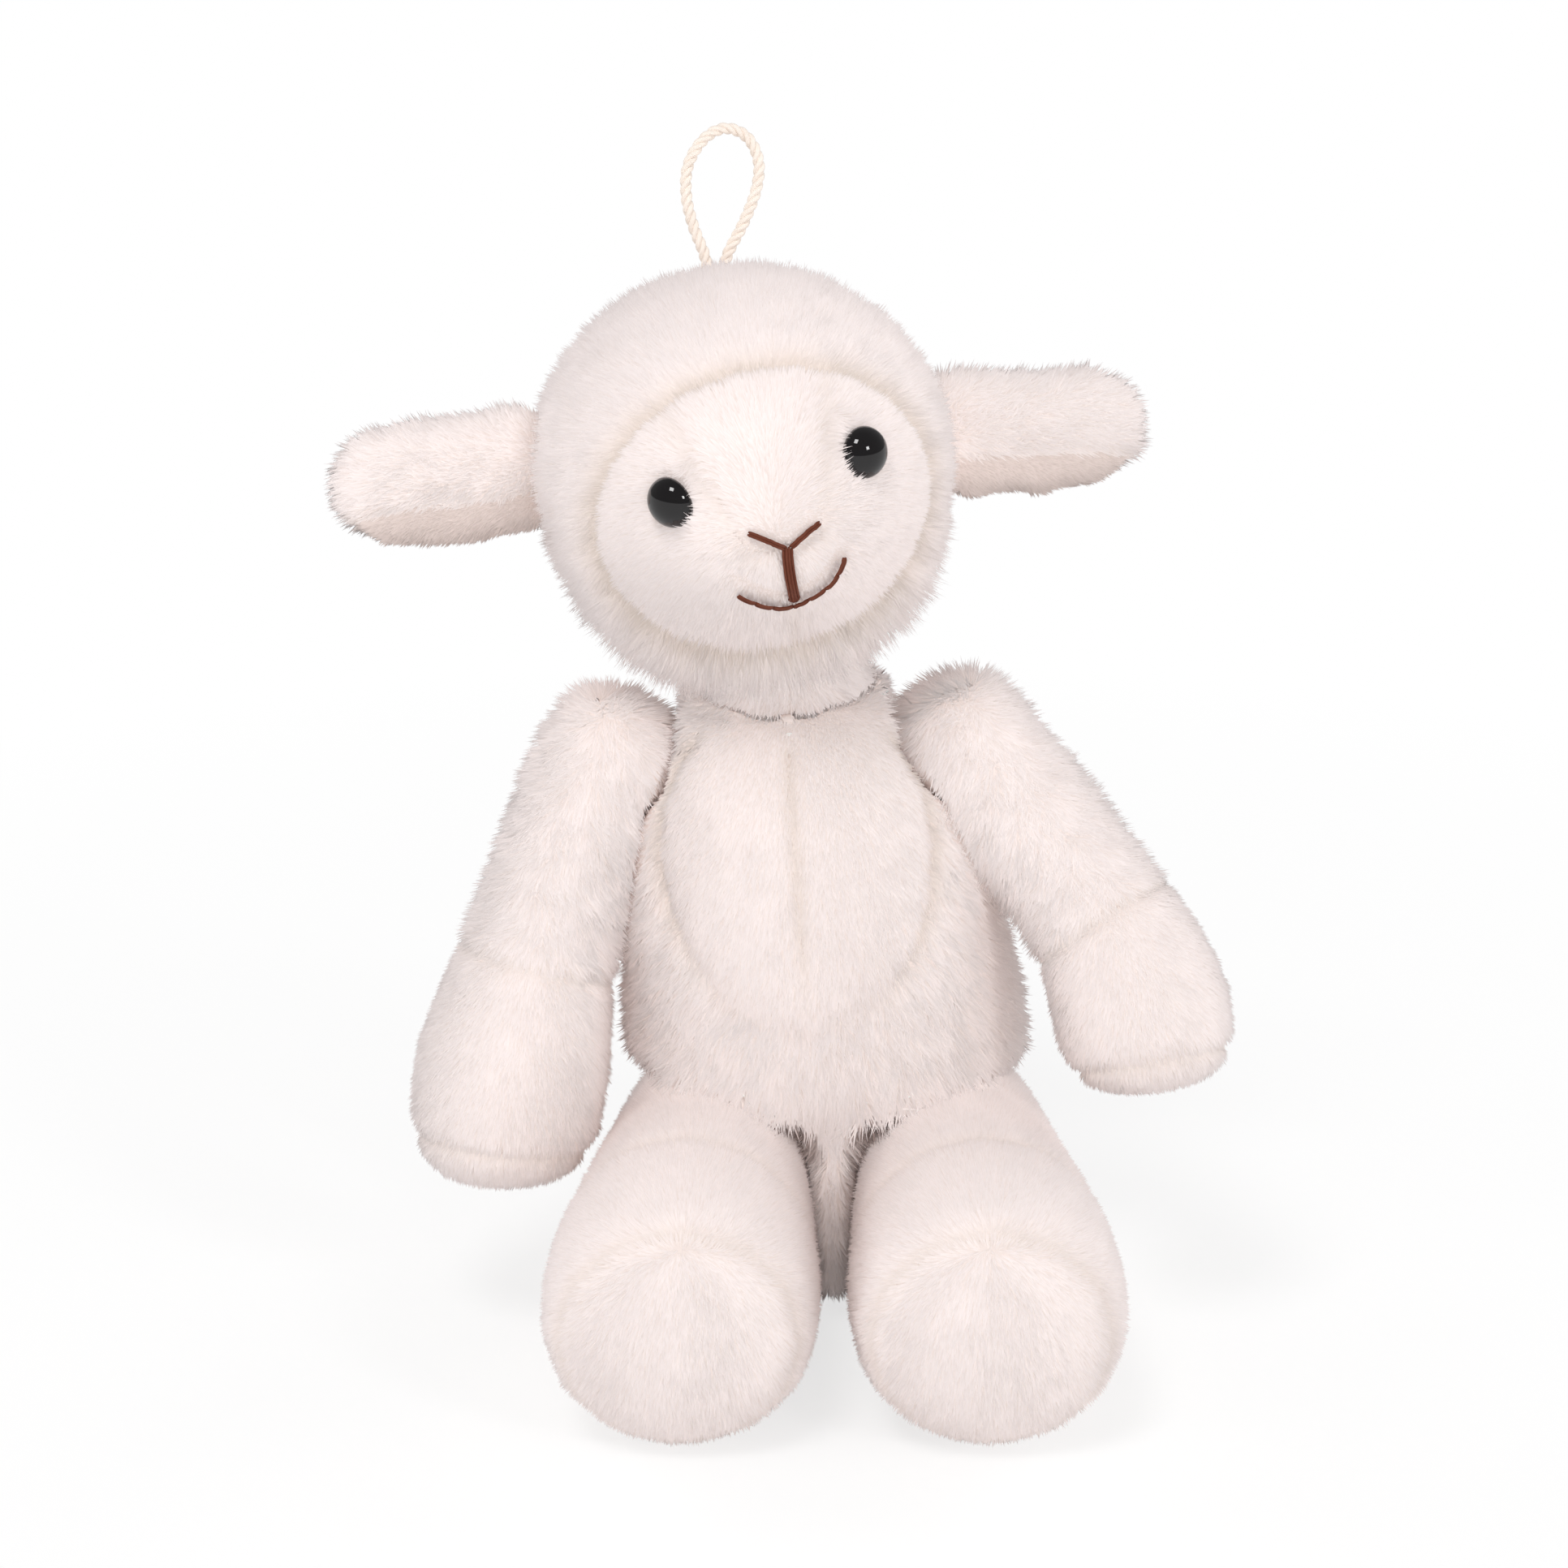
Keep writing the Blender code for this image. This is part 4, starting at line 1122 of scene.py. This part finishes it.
def make_stitching(skin):
    """The nose and mouth: satin threads for the nose, back stitches for the mouth."""
    material = thread_material("brown_thread")
    tool = bmesh.new()
    for pixels, threads in NOSE_LINES:
        sew(tool, *sewn_route(pixels, skin), threads, NOSE_LIFT)
    nose = made_from(tool, "nose_threads", material)
    tool = bmesh.new()
    route, normals = sewn_route(MOUTH_LINE, skin)
    stitch = round(STITCH_LENGTH / THREAD_STEP)
    for start in range(0, len(route) - LEAST_POINTS, stitch):
        part = slice(start, start + stitch + 1)
        sew(tool, route[part], normals[part], MOUTH_THREADS, MOUTH_LIFT)
    mouth = made_from(tool, "mouth_threads", material)
    for made, name in zip((nose, mouth), STITCHING):
        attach(made, "head")
        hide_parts(name)


def eye_frame(name):
    """A packed eye's dome: its centre, the way it looks, its radius and its rise, and its stem's length."""
    points = points_of(FRAME["nodes"][name].data)
    ends = np.linalg.norm(points[:, None] - points[None], axis=2)
    a, b = np.unravel_index(ends.argmax(), ends.shape)
    middle = points.mean(axis=0)
    top, low = points[a], points[b]
    if np.linalg.norm(top - middle) > np.linalg.norm(low - middle):
        top, low = low, top
    look = unit((top - low)[None])[0]
    along = (points - low) @ look
    radii = np.linalg.norm(points - low - along[:, None] * look, axis=1)
    rim = along[radii > radii.max() * EYE_RIM_SHARE].min()
    return Vector(low + look * rim), Vector(look), radii.max(), along.max() - rim, rim


def make_eye(side, material):
    """A domed safety eye on its stem, turned finely."""
    centre, look, radius, rise, stem = eye_frame("eye_" + side)
    centre += EYE_SHIFTS[side]
    turn = look.to_track_quat("Z", "Y").to_matrix()
    tilts = [math.pi / 2 * i / EYE_RINGS for i in range(1, EYE_RINGS + 1)]
    outline = [(radius * EYE_DOME_SHARE * math.sin(tilt), rise * math.cos(tilt)) for tilt in tilts]
    outline += [(radius * STEM_SHARE, 0), (radius * STEM_SHARE, -stem)]
    angles = [2 * math.pi * k / EYE_SIDES for k in range(EYE_SIDES)]
    tool = bmesh.new()
    top = tool.verts.new(centre + turn @ Vector((0, 0, rise)))
    rings = []
    for reach, height in outline:
        places = [Vector((reach * math.cos(angle), reach * math.sin(angle), height)) for angle in angles]
        rings.append([tool.verts.new(centre + turn @ place) for place in places])
    for k in range(EYE_SIDES):
        tool.faces.new((top, rings[0][k], rings[0][(k + 1) % EYE_SIDES]))
    for a, b in zip(rings, rings[1:]):
        join_rings(tool, b, a)
    tool.faces.new(rings[-1])
    made = made_from(tool, "eye_dome_" + side, material)
    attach(made, "head")
    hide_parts("eye_" + side)


def dress_node(name, material):
    """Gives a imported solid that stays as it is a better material."""
    mesh = FRAME["nodes"][name].data
    mesh.materials.clear()
    mesh.materials.append(material)


def make_padded():
    """The cloth, the pile and the filling of every padded body. Gives back the form of the head."""
    plush, lining = plush_material("ivory_plush"), plush_material("ear_lining")
    filling, _ = plain_shader("fibre_filling", FILLING_COLOUR, 1.0)
    tree = pile_tree()
    fibre = make_fibre()
    rough = {body: rough_form(body) for body in BODIES}
    forms = {}
    seed = 0
    for body in BODIES:
        others = tree_of([mesh for other, mesh in rough.items() if other != body])
        room = room_over(rough[body], others)
        forms[body] = make_form(body, rough[body], room)
        make_filling(body, rough[body], room, filling)
        for index, name in enumerate(covers_of(body)):
            seed += 1
            surface = panel_surface(forms[body], index, name)
            fabric = lining if SLOT_OF[name] == "ear_lining" else plush
            make_cloth(name, surface, fabric, body)
            make_pile(name, surface, tree, fibre, fabric, body, seed)
    bpy.data.objects.remove(fibre)
    return forms["head"]


CLOUD = cloud_group()
FIBRE_COLOUR = fibre_colour_group()
make_camera()
make_loop()
make_stage()
HEAD_FORM = make_padded()
make_stitching(tree_of([HEAD_FORM]))
EYE_BLACK, WASHER_NYLON = plastic_material("eye_black"), plastic_material("washer_nylon")
for SIDE in SIDES:
    make_eye(SIDE, EYE_BLACK)
    dress_node("eye_washer_" + SIDE, WASHER_NYLON)

LOOK_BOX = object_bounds()
boxes = {"cad": CAD_BOX, "scene": LOOK_BOX}
{name: [list(corner) for corner in box] for name, box in boxes.items()}
